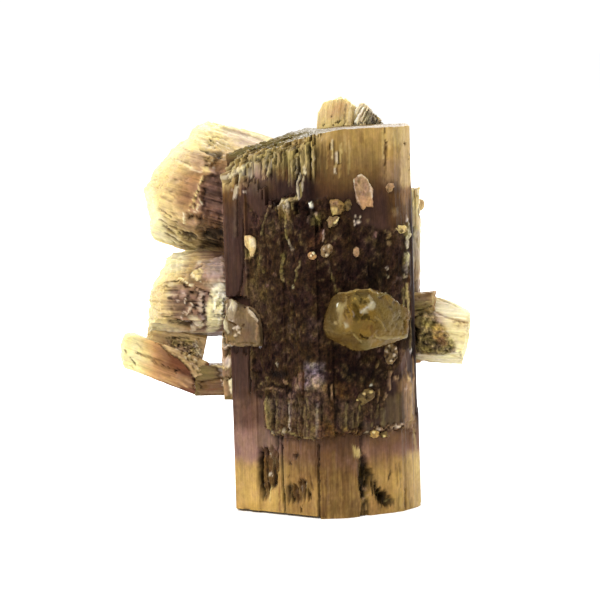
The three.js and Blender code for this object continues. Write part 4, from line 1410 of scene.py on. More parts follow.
# Painted shade in a hole.
# Painted shadow under the broken edge of the pink face.
UPPER_LEFT_FRONT = read_marks("""
# the smooth pink face at the top
a blush .95 3 0 221,126 245,131 264,139 264,150 240,148 226,138
a pink .5 4 0 236,133 262,140 262,146 240,143
a tan .25 6 0 222,127 264,138 264,150 232,148
l tan .35 1.6 -.05 224,127 246,133 262,140
l cream .5 1.4 .05 229,133 246,139 260,144
a butter .6 3 0 194,128 221,127 221,137 208,140 194,140
# broken away under it
a sand .8 2 0 226,136 240,146 256,148 256,152 236,151 224,142
l brown .7 1.8 -.1 212,136.6 218,137 224,140
a khaki .8 1.6 -.1 206,140 214,139 216,144 208,146
d dark .9 .8 -.15 211,139,1.3 214,142.6,1.2 208,143.4,1.1
l bone .95 2 .2 201.6,144.6 207,147 212,148.4 215.4,144.4 218.6,140.4 224,141.4 228,144.6
l blush .8 1.6 .15 218,142.6 224,146 230,148
a dark .95 1.6 -.25 200.6,148 208,149.4 213,151.6 222,150.6 226,154 218,157.6 208,154.6
a black .95 1.4 -.25 213,157 220,154 223,158 216,161.6
l ash .85 1.2 .12 207.6,153 215,157.4
l ash .8 1.2 .12 214,152.4 221,156
l bone .6 1 .12 210,151.4 216,153.6
a brown .8 2.4 -.1 204,156 212,158 220,162 216,170 208,168 204,162
a umber .5 3 0 212,158 226,158 222,174 212,174
d umber .85 1 -.2 207,161,1.5 212,165,1.6 209.4,157,1.3 215.6,163,1.3 205.6,166,1.2
d bone .7 .8 .1 213,160,1.1 209,163.6,1 214,167,1.1
# pink band and its stripes
a pink .6 4 .05 184,150 200,152 206,164 200,170 184,164 178,156
a rust .35 4 0 190,150 202,152 206,162 198,162
a tan .6 3 0 189,160 200,160 204,170 194,170
l tan .5 1.4 -.06 181,146 190,151
l tan .5 1.4 -.06 184,153 196,158
l tan .4 1.3 -.06 186,148 198,153
l brown .8 1.5 -.15 176,158 181,161 186,162.6 190,165
l cream .85 1.7 .15 177,160 185,165 192,169 200,172
a butter .95 1.6 .25 200.6,166.6 208,167.6 209,171.6 202,171.6
a pink .9 1.6 .2 208,168.6 214.6,169.6 214,173.4 208,172.4
# the large face
a tan .75 7 0 178,170 198,172 202,180 196,190 184,190 176,182
a orange .65 4 0 188,172 202,173 200,183 190,184
a rust .35 4 0 184,172 203,172 203,190 184,190
a tan .65 7 0 174,188 196,188 194,204 184,212 172,206
a rust .6 5 -.05 178,192 193,191 191,204 184,209 178,204
a sand .5 8 0 158,176 174,178 176,210 160,212
l sand .6 1.4 .06 156,176 168,180
l tan .6 1.4 -.08 150,186 158,189
l sand .7 1.4 .08 152,184 158,187
l tan .5 1.4 -.06 166,176 180,180 190,184
l tan .6 1.5 -.08 165,188 176,194 184,201
l tan .5 1.3 -.06 158,196 168,200 178,206
l brown .6 1.4 -.1 168,193 174,195 177,199
d olive .7 .8 -.08 161,187,1.4 176,179.6,1.1
# the purple face
a plum .95 1.8 -.5 203.4,176 209,174 223,174 223,236 205,238 197,231 196.6,222 202,210 203,196
a mauve .4 4 0 204,178 212,178 212,192 205,192
a mauve .4 4 0 211,198 222,198 222,214 211,214
a rust .3 4 0 206,206 222,206 222,222 206,222
a dusk .3 4 0 204,192 214,192 214,202 204,202
a umber .5 4 0 204,218 222,222 222,236 200,234
d mauve .5 1.6 .04 211,190,1.6 207,205,1.5 214,209,1.6 209,219,1.8 216,219,1.4 220,206,1.4
# ragged break
a umber .85 1.4 -.2 203,177 201.4,184 200.4,192 199.4,203 203.4,204 204.6,190 205,178
l butter .85 1.7 .15 201.6,176.6 199.8,184 196.6,192
l straw .8 2.2 .1 197.6,193 194,200 190.6,206
l cream .85 1.8 .15 201.6,202 199,208 195,212
d umber .9 .9 -.2 196,198,1.6 193,203,1.3 198,192,1.3 196,206,1.2 191,208,1.1 199.6,197,1.1 194.4,193,1
d butter .9 .8 .15 199,200,1.2 194,208,1.3 189,210,1.1 192.4,199,1 197.6,204.4,1.1 196,195,1 190,214,1.2
l cream .95 1.8 .2 184,213.6 183,219 184,223
a brown .85 2 -.2 186,213 200,213 200,221 186,221
d dark .85 1 -.2 191,216.6,1.6 196,217,1.5 188,219,1.3
# layered lower part
a brown .6 5 0 164,222 182,221 200,226 204,236 190,249 172,249 162,236
a mauve .6 2.5 0 186,220 200,220 200,230 188,230
a umber .6 4 0 182,228 204,232 200,248 180,247
l olive .9 2 -.15 159,210 165,213.6 171,217
l tan .6 1.4 -.1 172,213 176,218
l olive .85 1.6 -.15 160,222 168,226.6 178,229
l rust .5 2.2 -.05 178,221 184,226
l umber .8 1.5 -.15 163,228 170,232 176,236
l umber .8 1.5 -.15 166,235 174,240 182,243
l brown .8 1.4 -.12 172,229 180,232 188,233
l brown .7 1.3 -.1 162,218 170,221 178,223.4
l umber .7 1.3 -.12 172,243 180,246.6 190,247.6
l butter .8 1.5 .15 178,238 186,243 196,246
l butter .7 1.4 .12 166,226 176,233 182,237
l cream .6 1.3 .12 164,231.6 171,236 178,240
l sand .7 1.4 .1 160,214 167,218 174,221
l sand .6 1.3 .1 176,244 184,247
d dark .9 .9 -.2 180,235,1.3 172,243,1.1 184,246,1.2 176,226,1.1 168,229.6,1 187,240.4,1.3
a black .97 1.2 -.5 186,234.6 190,231.6 197.6,236 196.4,240.4 190,241
a dark .9 1.4 -.25 182.6,232 189,232 189,238 183,238
l olive .8 2.2 .1 191,242 200,240 204,244
# shade by the main crystal
a black .9 3 0 203,233 224,232 224,248 205,248
a black .95 3 -.3 201,236 210,230 224,230 224,250 200,250
a moss .9 1.5 .05 197,246 206,241 211,247 200,250
""")
UPPER_LEFT_EDGE = [
    (262, 134), (245, 128), (225, 122), (205, 121), (190, 130), (180, 140), (162, 153), (147, 172),
    (142, 190), (146, 210), (152, 230), (162, 246), (176, 253),
]

side_crystal(
    "upper_left", (-3, 4, 34.6), (-20.6, 3.4, 40.4), 8.1, 0.92, 30, 2.6, start=1.5, seed=100, ragged=0.5,
    end=[(-8.1, 3.2), (-7.3, 2.5), (-5.6, 2.0), (-3.1, 0.65), (-2.3, 0.3), (-1.7, 0.6), (-0.8, 0.9),
         (0.1, 0.9), (1.0, 1.25), (1.8, 1.7), (2.5, 1.95), (3.4, 2.2), (4.7, 3.15), (5.3, 3.8),
         (6.2, 3.85), (7.1, 4.4), (8.1, 5.4)],
    zones=[(0, "glow"), (1.5, "butter"), (4, "sand"), (6, "tan"), (8.5, "mauve"), (11, "plum")],
    marks=UPPER_LEFT_FRONT, edge=UPPER_LEFT_EDGE,
    edge_glow_and_colour=[(0, "glow"), (7, "glow"), (14, "butter"), (28, "sand"), (42, "tan"), (58, "mauve")],
    fine=0.19, groove=0.07, plates=0.12, fray=(3, 0.1), fray_reach=4.0, crust=0.7,
)

MIDDLE_LEFT_FRONT = read_marks("""
# smooth upper band
a cream .95 5 .05 168,249 188,249 190,264 178,270 162,268
a glow .5 4 0 168,252 184,252 184,264 168,264
a tan .6 4 0 186,250 200,250 198,262 190,272 184,266
a flesh .5 4 0 188,262 196,266 190,280 178,276
a mauve .85 2.5 0 198,249 224,249 224,259 200,261
a plum .5 3 0 212,250 224,250 224,256 214,257
l dusk .7 1.6 -.1 215,256.6 219,257 222,255
# the pinkish facet with a bright rim
a pink .9 1.5 .3 198,262 206,260.6 215,259 223,255.6 224,282 212,283 205,279 199,281 191.4,276 192,272
a lilac .5 3 0 206,262 223,259 223,276 208,277
a flesh .35 4 0 204,276 216,278 214,284 204,282
d cream .95 1.2 .15 201,262.6,2.4
l brown .7 1.6 -.25 202,266.4 197,268.4 192.6,271 190.4,275
a butter .9 1.8 .15 192,272 199,269 203,272 201,280 196,279 191.6,276
l cream .9 1.6 .15 191.6,273.4 194.6,278 200,281.6
l olive .5 1.4 -.1 198,271 201.4,276 201,281
# the fan of white rays
a glow .98 1.6 .2 211,291 217,284 224,281 226,300 224,316 219,329 214,331 207,331 207,320 206,306
+ 209,300
a glow .6 4 .05 204,284 216,281 222,282 214,292
l flesh .5 1.5 -.08 204,284 209,287.6
l tan .5 1.2 -.08 208,283 214,288
l cream .8 1.2 .08 216,284 214,290
l butter .8 1.3 -.1 224,286 216,294 209,304
l butter .7 1.3 -.1 225,290 218,303 211,320
l straw .5 1.3 -.1 224,296 222,306 217,324
l straw .4 1.2 -.06 213,300 210,326
a yellow .5 3 0 209,306 222,304 218,326 208,326
a white .5 3 0 213,284 225,281 226,300 214,300
a glow .7 2 0 209,300 225,298 223,318 209,326
l white .9 1.6 .15 222,285 216,300 213,312
l white .8 1.4 .12 225,292 222,306 218,322
l umber .8 1.6 -.25 200,289.6 204,290.4 209,294 212.4,298.6
a flesh .6 1.4 -.1 205,294 210,296 209,304 205.6,304
l brown .8 1.5 -.2 218.4,305 222,302.6
d olive .8 .8 -.15 213.4,311,1.4 220,316.6,1.8 209.6,325,1.4 213,316,.8
l dark .85 2 -.3 224.6,298 224,309 224.6,318
# a white slab and the gaps round it
a blush .95 1.2 .3 198.6,297 202.4,296.6 203.6,304 204,311 201.4,315 199,312 198.4,304
a blush .95 1.2 .25 197.6,290 201,291.4 205,294.4 201,296.4 198,294.6
l umber .6 1.5 -.2 195.4,288 197,294 197.6,300
a dark .95 1.1 -.4 202.6,296 204.6,296.6 205.6,304 205,313 203.8,313
a dark .9 1.2 -.3 198,312 205.4,311.6 205.2,314 199,314.6
a ash .8 1.2 -.1 202.4,314 206,315 207.6,321 204.6,321.6
a lilac .8 1.4 .1 201,316 204,315.6 205,319.6 202,320
l dark .8 1.5 -.25 206.6,317 205.4,321 202.6,324
l blush .7 1.2 .15 206,304.6 206,311
# striped left part
a sand .75 5 0 150,284 182,281 184,298 180,322 150,326
l olive .8 1.8 -.15 164,283 170,282.6 175.6,280.6
a cream .9 1.3 .15 167,284 172,283 176,284.6 172,287 168,286.6
l olive .8 1.8 -.15 164,286.6 169,288 175,287.4
l olive .6 1.4 -.12 165,290 172,291.4
a cream .9 1.5 .2 165,294.6 170,292 176,292 175,297 168,298
a lumpy .8 2 0 175,289 179,289 179,298 175,298
l umber .6 2 -.15 168,298.8 176,299.4 184,300.6
l tan .5 1.8 -.08 153,301.4 160,302 168,300.4
l sand .7 1.4 .08 152,304 160,305.6 168,304.6
l khaki .6 1.6 -.12 153,307.4 159,311
l olive .5 1.4 -.1 161,309.4 168,308.6 174,310
l tan .6 1.4 -.08 160,315.6 168,315 174,313.6
l olive .8 1.8 -.15 163,318.6 168,318.6 176,316.4
l cream .6 1.4 .08 152,313 162,313.4
l khaki .6 1.6 -.15 152,321 160,321.6
l butter .5 1.4 .08 152,325 162,325
l brown .5 1.4 -.1 160,288 165,288.6
# mottled mauve grey middle
a ash .5 6 0 168,284 206,284 206,322 168,322
a mauve .8 4 -.08 170,286 184,281 196,288 198,300 196,322 176,322 168,306
a plum .6 2.4 -.15 176,305.6 186,305 188,311.6 177,311.4
a umber .4 3 0 170,298 186,300 190,316 170,318
l flesh .6 2 .06 172,303 174,307
a pink .6 1.6 .1 180.6,290 185,290 186,296 181,298
d blush .7 .8 .1 183,293.4,1.2 178,301.6,1.2 183.4,312.4,1.4
l butter .85 1.6 .15 175,275.4 180,277 184,280.4
l cream .95 1.6 .2 183.6,279 184.4,282 189,284.6 193,286
l umber .8 1.8 -.25 180,281 184,285.6 188,287
l brown .7 1.6 -.15 175,281 180,283.6
a ash .7 2 0 189,276 194,280 192,286 187,282
a olive .6 2 0 188,287 196,287 197,296 188,296
a black .95 1.4 -.35 184,298 190,297 196,300.6 197.6,303 190,303 188,306 185.6,305 188,301
a black .95 1.2 -.35 193,304 197.6,304 198,308 195,309.6 192.6,307
d dark .9 .9 -.25 191.6,292,1.6 188,296,1.4 178,297.6,1 184.6,287.4,1
l umber .7 2 -.2 190.6,310 192.6,315
l blush .95 1.5 .25 186,299.6 184.6,303.6
l blush .95 1.5 .25 191.4,303.4 192.2,308
l blush .95 1.7 .25 190.6,308.6 188,312 186.4,314.4
a lumpy .7 2 0 178,314 196,313 198,318 180,319
l blush .8 1.6 .15 182,316 182.6,319.4
a cream .7 2 .1 188,317 196,316 201,320 196,321 190,319
# a dark seam and the bone band
a umber .9 2 -.25 166,320 176,319 184,320 178,325 170,325.6
a black .95 1.4 -.4 170,324 178,322 190,320.6 193.6,322.6 192.6,328 186,328.6 176,326.6
l pink .5 1.2 .08 178,322.4 183,321.6
l lilac .5 1.2 .08 186,324 191,323
a cream .9 1.4 .15 194,321.6 201,320.6 205,325 201,327.4 195,327
d blush .95 1 .2 193,328.6,2.4 198,324,1.4
l ash .8 1.6 -.1 196,329.6 203,328.6 208,326.6
a bone .85 1.8 .1 150,327 166,326.4 186,330 196,330 210,331 210,336 196,338 170,338 150,334
l khaki .8 2 -.06 176,332.6 184,332.6 190,331.6
l ash .7 1.5 -.1 197,333 206,333
l cream .8 1.4 .1 171,334.6 180,335.6 192,335
l olive .5 1.4 -.08 171,333 174,329.6 178,329
""")
MIDDLE_LEFT_EDGE = [(176, 243), (166, 253), (156, 266), (150, 280), (147, 300), (146, 318), (148, 334)]

side_crystal(
    "middle_left", (-3, 2.8, 25.2), (-20.6, 1.6, 25.7), 5.35, 1.0, 30, 1.4, start=7.0, seed=200, ragged=0.6,
    end=[(-5.3, -0.2), (-1.2, -0.05), (-0.7, 0.1), (0, -0.05), (0.7, 0.4), (1.5, 0.5), (2.2, 1.1),
         (2.9, 1.4), (3.7, 1.9), (4.35, 2.0), (5.2, 2.8)],
    zones=[(0, "glow"), (1.2, "butter"), (3, "sand"), (5, "tan"), (7, "mauve"), (9, "mauve")],
    marks=MIDDLE_LEFT_FRONT, edge=MIDDLE_LEFT_EDGE,
    edge_glow_and_colour=[(0, "glow"), (8, "glow"), (15, "butter"), (30, "sand"), (42, "tan"), (58, "mauve")],
    fine=0.17, groove=0.12, plates=0.14, fray=(3, 0.12), fray_reach=3.5, crust=0.7, steps=0.2,
)

LOWER_LEFT_FRONT = read_marks("""
a yellow .9 8 0 116,328 140,332 142,372 116,372
a butter .7 6 0 136,336 150,338 150,372 136,368
a orange .8 7 0 144,334 164,344 166,356 144,352
a rust .55 5 0 156,344 174,352 178,364 170,370 156,360
a mauve .35 4 0 160,350 170,352 168,366 160,364
a brick .9 4 0 170,356 186,358 190,372 174,370
a orange .75 4 0 138,362 160,366 178,374 192,384 176,386 150,376
a flesh .6 3 0 160,374 176,378 172,383 160,378
a flesh .8 3 0 176,374 192,378 196,390 178,386
l khaki .7 2 -.1 136.6,353 141,354
l brown .7 3.4 -.08 141,355 152,358 160,361
a brown .6 3 -.05 154,359 172,366 178,371 168,371 154,366
d umber .75 1.2 -.15 152.4,361,1.6 154.6,363,1.2 162,365.6,1.6 167,367,1.2
l umber .9 2 -.2 174,369.6 179,369.6
l dark .8 1.4 -.2 174.6,369.6 175,373
a umber .7 2.4 -.15 178,370 186,371 196,378 192,378 182,374
l dark .9 1.8 -.25 191,374 195,378 197,383
d olive .9 .8 -.15 125.4,350.6,1.6 138,353,1.2
l olive .85 1.6 -.15 130,357.6 131.4,361 134,364
l khaki .8 1.4 -.12 131,365 134,367.6
l khaki .5 2 -.05 137,343 141,348
l khaki .5 1.6 -.05 125,333 123.6,337 125,342
d umber .85 1 -.2 155,341.6,1.5 151,335.6,1.1
l umber .9 1.5 -.2 158,343.4 162,345.6 166,349
l brown .7 1.4 -.12 166,349 168,354 172,358
l orange .7 3 .06 162,376 178,380 186,386
l sand .5 1.6 .05 140,370 160,378 180,387
l brown .4 1.4 -.06 178,385 192,389
a dark .85 1.4 -.25 192,378 198,381 198,386 194,385
d umber .9 .9 -.2 194,386.6,1.5 197,390,1.6 193,389.4,1.2
l straw .8 1.4 .12 199,380 200,391
# the scales over its inner end
a sand .95 1.2 .15 160,338 176,342 192,348 206,356 206,381 196,379 189,369 182,361 172,354 163,346
a lumpy .6 3 0 166,342 190,348 204,360 204,378 194,374 178,356
d umber .85 .9 -.15 180,345.6,1.3 184,349,1.3 182,353.4,1.5 189,349.6,1.4 188,355.6,1.5 192.6,353,1.2
+ 188,360,1.3 192,359.6,1.5 196,364,1.3 193,368,1.2 178,349,1.1 174,347.6,1.2 199,360,1.1 200,368,1.3
+ 197,372,1.1
d bone .8 .8 .15 178,346.4,1.1 185.6,352,1.2 190,357,1.2 186,358.6,1.1 195,360.6,1.2 191,364.6,1.1
+ 197,368,1.1 181,350.6,1 176,350,1.1
l umber .85 1.4 -.2 162,346.4 172,354.4 182,361.6 189,370
l bone .7 1.3 .1 195.4,383 196.6,388
""")

side_crystal(
    "lower_left", (-8.4, 1.4, 12.5), (-24.5, -0.6, 19.7), 2.4, 1.0, 0, 0.3, start=7.0, seed=300, ragged=0.25,
    end=[(-2.0, 1.4), (-1.6, 1.0), (-0.9, 0.6), (0.2, 0.15), (1.4, 0.1), (1.9, 0.7), (2.1, 1.2)],
    zones=[(0, "glow"), (1.6, "glow"), (2.6, "butter"), (4, "orange"), (6, "rust"), (8, "brick")],
    marks=LOWER_LEFT_FRONT, edge=[(118, 330), (118, 365)],
    edge_glow_and_colour=[(0, "glow"), (18, "glow"), (26, "butter"), (36, "orange"), (52, "rust"), (66, "brick")],
    fine=0.15, groove=0.07, plates=0.08, crust=0.4, steps=0.2,
)

FILLING_FRONT = read_marks("""
a sand .95 2 0 150,330 206,330 208,366 192,380 160,352
a lumpy .6 4 0 164,340 204,340 202,366 190,372 170,356
a flesh .5 3 0 150,332 170,336 170,348 162,344
l dark .9 1.6 -.3 171,337.6 178,338 184,337.6 191,338.4
d dark .9 .8 -.2 168,338,1.5 171,340,1.1
l khaki .7 1.5 .1 172,340.6 182,340.6 190,341.6
d dark .85 .9 -.2 178,345,1.2 183,345.6,1.5 187,344.6,1.1 190,349,1.5 181.6,352.4,1.8 187,352,1.4
+ 190.6,353.6,1.3 186,357,1.3 191,357.4,1.2 194,360,1.1 178,350,1 185,349,1 193,365,1.3 190,368,1.2
d sand .85 .8 .15 176,346,1.2 180.6,343,1.1 180,348.6,1.1 185.6,347.6,1 188,347,1 184.6,350.6,1.1
+ 188.4,355,1.1 193,355,1.2 184,355,1 189,360.6,1.1 195,362.6,1.1 192,350.6,1.1
l straw .7 1.3 .12 192,340 191.6,345 193,350
l cream .9 1.6 .25 196.4,341 197.6,347 199.6,354
l olive .8 1.3 -.2 199.4,338 200.6,343
l olive .7 1.3 -.15 198.6,347 200.6,354
l bone .8 1.5 .15 194,344 196,352 198.4,359
l bone .8 1.5 .2 201,350 202.4,357 204.4,360
d umber .9 .8 -.15 203,359,1.3 197.6,341.6,.9
l flesh .7 2 .1 157,335 163,340 168,345 172,349
a blush .6 1.5 .1 170,352 174,352.6 177,357 172,356
l lichen .8 2 0 184,362 192,372 196,378
""")

side_crystal(
    "left_filling", (-7, 3.2, 16.9), (-21.2, 3.0, 20.4), 2.9, 1.0, 30, 0.5, start=7.6, seed=400, ragged=0.5,
    zones=[(0, "sand"), (2, "olive"), (6, "tan")], marks=FILLING_FRONT,
    fine=0.16, groove=0.14, plates=0.2, crust=0.6,
    crust_area=[(164, 340), (196, 340), (200, 362), (190, 376), (170, 358)], steps=0.2,
)

BRIDGE_FRONT = read_marks("""
a lichen .9 2 0 194,358 232,358 232,381 194,382
a khaki .45 3 0 198,366 214,366 214,380 198,380
l lichen .8 2 -.1 205,362 213,368
l moss .7 3 -.1 216,366 219,372 217,378
l butter .85 2 .15 214,364 218,366.6 222,367.6 224,366.4
a lilac .6 2 0 220,369 228,368 230,376 222,377
a brown .9 2.4 0 200,382 230,378 230,396 200,396
l umber .9 2.2 -.2 200,382 208,381 216,379 230,377.6
a mauve .5 3 0 208,384 226,382 228,386 210,388
l rust .7 2.4 0 207,389 217,389
l flesh .7 3 0 200,392 230,391.6
l ash .6 1.4 -.05 204,394.4 230,394
l blush .8 1.4 .1 222.4,380 223.4,385
l dark .7 1.5 -.2 201,382 201,388
""")

side_crystal(
    "left_bridge", (-7, 0.6, 15.1), (-15.6, 0.2, 15.25), 2.08, 1.2, 0, 0.2, start=3.0, seed=500, ragged=0.3,
    zones=[(0, "olive"), (3, "flesh")], marks=BRIDGE_FRONT, fine=0.14, groove=0.08, plates=0.1,
    crust=0.3, steps=0.16,
)

RIGHT_FRONT = read_marks("""
a cream .9 1.5 0 433,297 446,300 462,309 470,317 468,323 445,318 434,309
l straw .5 1.2 -.1 436,298 448,302 458,307
l tan .75 2 -.25 432,309 444,317 456,320 468,323
a pink .7 2 .1 429,310 440,312 446,321 440,326 430,318
d tan .85 1 -.15 456,321,1.6 460,323,1.4 464,322,1.4 458,326,1.2 465,326,1.1
d brown .7 .6 -.1 459,321,.9 463,325,.9
a glow .8 3 0 444,326 468,326 466,345 461,364 448,360 444,344
l sand .7 1.4 -.1 450,333 460,336 468,334
d brown .8 .5 -.1 460.5,336.5,.8 466,331,.7
l sand .6 1.3 -.1 446,345 456,349 464,350
l sand .6 1.3 -.1 448,354 458,357
l olive .7 1.2 -.1 460,352 459,362
# crusted inner part
a olive .95 2 .15 417,312 432,310 440,324 446,336 456,342 455,352 444,355 428,353 414,354 414,330
a khaki .85 3 0 416,314 432,312 452,340 454,352 416,352
a moss .25 3 .05 416,334 430,332 452,342 454,351 438,354 416,352
a straw .65 1.8 .2 421,313 430,313 431,330 422,333
a butter .6 5 0 446,322 470,320 468,346 450,346
a honey .5 4 0 452,318 470,320 468,328 450,328
a honey .9 3 .2 433,325 446,323 450,334 442,341 433,338
a rust .7 2 .1 434,336 446,338 448,345 438,346
l straw .5 1.6 .15 416,348 424,330 432,318
d straw .75 .9 .25 420,338,1.2 426,342,1.2 432,345,1.3 438,350,1.2 445,348,1.2 450,345,1.1 422,348,1.1
+ 428,336,1
d dark .85 .9 -.3 423,343,1.3 430,349,1.4 436,344,1.2 442,352,1.2 426,334,1.2 432,338,1.1 418,343,1.2
+ 448,349,1.1
d black .95 .7 -.4 447,351,1.5
l black .92 5 -.6 411,322 416,330 414,352
l dark .85 2.2 -.4 412,318 422,313 430,309
a cream .8 1.5 .1 414,353 444,356 460,360 460,366 414,364
a sand .8 2 0 408,288 434,286 436,310 410,316
a tan .6 3 0 426,290 434,288 434,308 428,306
l khaki .8 2.4 -.1 410,306 422,304 432,306
""")

side_crystal(
    "right", (3, 2, 21.4), (17.6, 1.0, 19.8), 3.95, 1.0, 30, 0.6, start=6.6, seed=600, ragged=0.25,
    end=[(-3.7, 0.55), (-1.6, 0.12), (0.2, 0.0), (1.77, 0.05), (2.5, 0.15), (2.7, 0.5), (3.2, 1.6),
         (3.67, 2.7), (3.95, 4.1)],
    zones=[(0, "glow"), (2.5, "cream"), (4.5, "sand"), (6, "olive"), (8, "moss")],
    marks=RIGHT_FRONT, edge=[(470, 316), (467, 340), (461, 364)],
    edge_glow_and_colour=[(0, "glow"), (10, "glow"), (24, "cream"), (34, "sand"), (46, "olive")],
    fine=0.15, groove=0.07, plates=0.08, crust=0.5,
    crust_area=[(414, 330), (424, 312), (432, 312), (446, 330), (456, 342), (455, 353), (414, 354)],
    steps=0.18,
)

RIGHT_CAP_FRONT = read_marks("""
a sand .95 2 0 406,286 436,284 436,304 406,304
a tan .5 3 0 414,288 430,288 430,300 414,300
a mauve .4 3 0 408,296 424,294 428,300 410,303
a khaki .95 2.5 0 408,301 434,300 434,314 408,318
a brown .9 1.5 .15 425,289 434,289 434,296 427,296
l straw .6 1.4 .15 412,305 422,304 430,301
l moss .9 1.8 -.2 412,312 422,310 432,306
d brown .7 .8 -.15 414,300,1 420,297,1 426,304,1.1
""")
side_crystal(
    "right_cap", (6, 1.5, 23.1), (13.5, -0.2, 23.3), 1.9, 1.1, 0, 0.2, start=2.6, seed=650, ragged=0.4,
    zones=[(0, "tan"), (3, "olive")], marks=RIGHT_CAP_FRONT, fine=0.14, groove=0.12, plates=0.2,
    crust=0.4, steps=0.16,
)

TOP_BACK_FRONT = read_marks("""
a orange .5 4 0 326,108 344,100 350,108 344,116 328,118
a orange .5 3 0 332,103 344,102 344,110 333,111
l butter .7 1.6 .1 326,106 325,122
d dark .9 .6 -.3 331.5,117,1 338.8,122,1.3 323,125.5,1.1 334,125,.9 344,124,.9
l umber .7 1.6 -.2 336,122 341,122
l olive .6 1.6 -.15 346,104 345,122
l cream .6 2 .1 351,105 348,120
""")
side_crystal(
    "top_back", (1.2, 5.5, 34), (3.1, 10.4, 48.6), 2.55, 1.0, 30, 0.8, start=8.5, seed=700, ragged=0.4,
    end=[(-2.4, 2.6), (-2.0, 1.4), (-0.9, 1.0), (0.0, 0.4), (0.5, 0.6), (1.3, 1.2), (2.0, 1.5)],
    zones=[(0, "butter"), (1.5, "sand"), (3.5, "straw"), (6, "amber")], marks=TOP_BACK_FRONT,
    fine=0.13, groove=0.08, plates=0.1, steps=0.18,
)
side_crystal(
    "top_wing", (2.2, 7.5, 38), (1.8, 9.4, 46.1), 1.35, 1.3, 10, 0.3, start=4.5, seed=720, ragged=0.4,
    zones=[(0, "butter"), (1.2, "sand"), (3.5, "straw")], marks=TOP_BACK_FRONT, fine=0.12,
    groove=0.1, plates=0.1, steps=0.18,
)
TOP_STRIPED_FRONT = read_marks("""
a cream .9 2 0 350,104 370,106 372,124 348,124
l black .97 2.6 -.7 357,106 352,114 347,123
l olive .8 1.4 -.2 362,107 357,115 353,123
l white .9 1.6 .3 359,106 354,115 350,122
l tan .6 1.4 -.15 366,108 361,116 358,123
l white .8 1.4 .2 364,107 359,116 355,123
l olive .7 1.6 -.2 369,110 365,117 362,123
l cream .8 1.2 .2 368,109 363,118
d dark .8 .5 -.2 355,119,.8 359,121,.8 353,122,.8
a black .96 1.2 -.3 367,116 371,110 384,121 384,126 364,126
l bone .8 1 .3 372,112 376,118 376,122
l lilac .7 1 .3 370,118 374,122
l mauve .8 1.2 .2 378,118 384,122
l dark .8 1.6 -.2 346,124 360,123 370,124
""")
side_crystal(
    "top_striped", (2.7, 7, 37.3), (6.8, 10.2, 46.1), 2.75, 1.0, 0, 0.4, start=3.5, seed=740, ragged=0.3,
    end=[(-2.3, 2.0), (-2.0, 0.1), (-1.6, -0.5), (-0.9, -0.4), (0, 0.1), (1.1, 0.5), (2.0, 1.1), (2.6, 1.5)],
    zones=[(0, "bone"), (2, "sand"), (4, "olive")], marks=TOP_STRIPED_FRONT, fine=0.12, groove=0.16,
    plates=0.1, steps=0.16,
)
side_crystal(
    "back", (0.5, 3, 19.8), (4.6, 18.6, 24.4), 5.6, 0.92, 12, 1.2, start=7.0, seed=760, ragged=0.7,
    end=[(-5.6, 1.5), (-3, 0.5), (0, 0), (3, 0.7), (5.6, 1.8)],
    zones=[(0, "glow"), (1.2, "butter"), (3, "straw"), (5, "tan"), (7.5, "plum")], fine=0.22,
    coarse=0.22, groove=0.14, plates=0.2,
    fray=(3, 0.14), fray_reach=3.0, crust=0.8,
)
side_crystal(
    "back_low", (-2, 4, 15), (-7.4, 16.4, 9.6), 3.5, 1.0, 40, 0.7, start=6.5, seed=780, ragged=0.4,
    zones=[(0, "glow"), (1.2, "butter"), (3, "orange"), (5, "rust"), (7, "brick")], fine=0.2,
    coarse=0.2, groove=0.1, plates=0.15,
    fray=(2, 0.12), fray_reach=2.0, crust=0.8,
)


# A dark filler crystal where the upper crystal's shadow falls: painted shadow.
side_crystal(
    "left_shadow", (-6, 5, 31.5), (-15, 4.5, 31), 1.6, 1.0, 0, 0.3, start=3.0, seed=810, ragged=0.4,
    zones=[(0, "dark"), (4, "night")], fine=0.25, groove=0.1, steps=0.3, crust=0.5,
)

# Painted shade beside the main crystal's left edge.
LEFT_STRIP_FRONT = read_marks("""
a flesh .8 1 0 216,330 236,330 236,396 216,396
l cream .7 3.2 0 217,331 221,336 222,344
l black .9 2.2 -.5 220,328 224,334 225,343
a dark .9 1.2 -.4 222,334 227,336 227,345 221,344
a blush .9 1 .1 221,344 230,344 230,347 222,348
a dark .9 1.2 -.5 224,348 230,347 231,357 224,355
l cream .95 3 .15 232,344 233,352
l cream .9 1.6 .1 231,353 235,353
a blush .9 1.5 .3 223,358 228,357 232,360 233,365 229,368 224,364
a lilac .5 1.5 0 225,360 229,359 230,365 226,364
l butter .8 1.8 .1 219,365 223,367 228,368
a olive .7 2 0 221,368 234,368 234,378 221,378
a mauve .7 1.5 0 223,370 229,369 229,375 223,376
l umber .8 1.8 -.3 220,378 228,378 233,377
l pink .7 2 .15 222,380 223,385
a cream .95 1.2 .2 228,379 232,378 234,384 234,393 230,391
a tan .5 2 0 218,384 228,384 228,395 218,395
""")
side_crystal(
    "left_strip", (0, 0, 13.3), (0, 0, 21.2), 2.0, 1.0, 0, 0.1, start=0.0, seed=820, ragged=0.5,
    outline=[(-12.05, -4.2), (-10.3, -4.75), (-10.3, 2.8), (-11.95, 2.6)],
    zones=[(0, "tan"), (4, "olive")], marks=LEFT_STRIP_FRONT, fine=0.13, coarse=0.25, groove=0.12,
    plates=0.2, crust=0.5, steps=0.14,
)

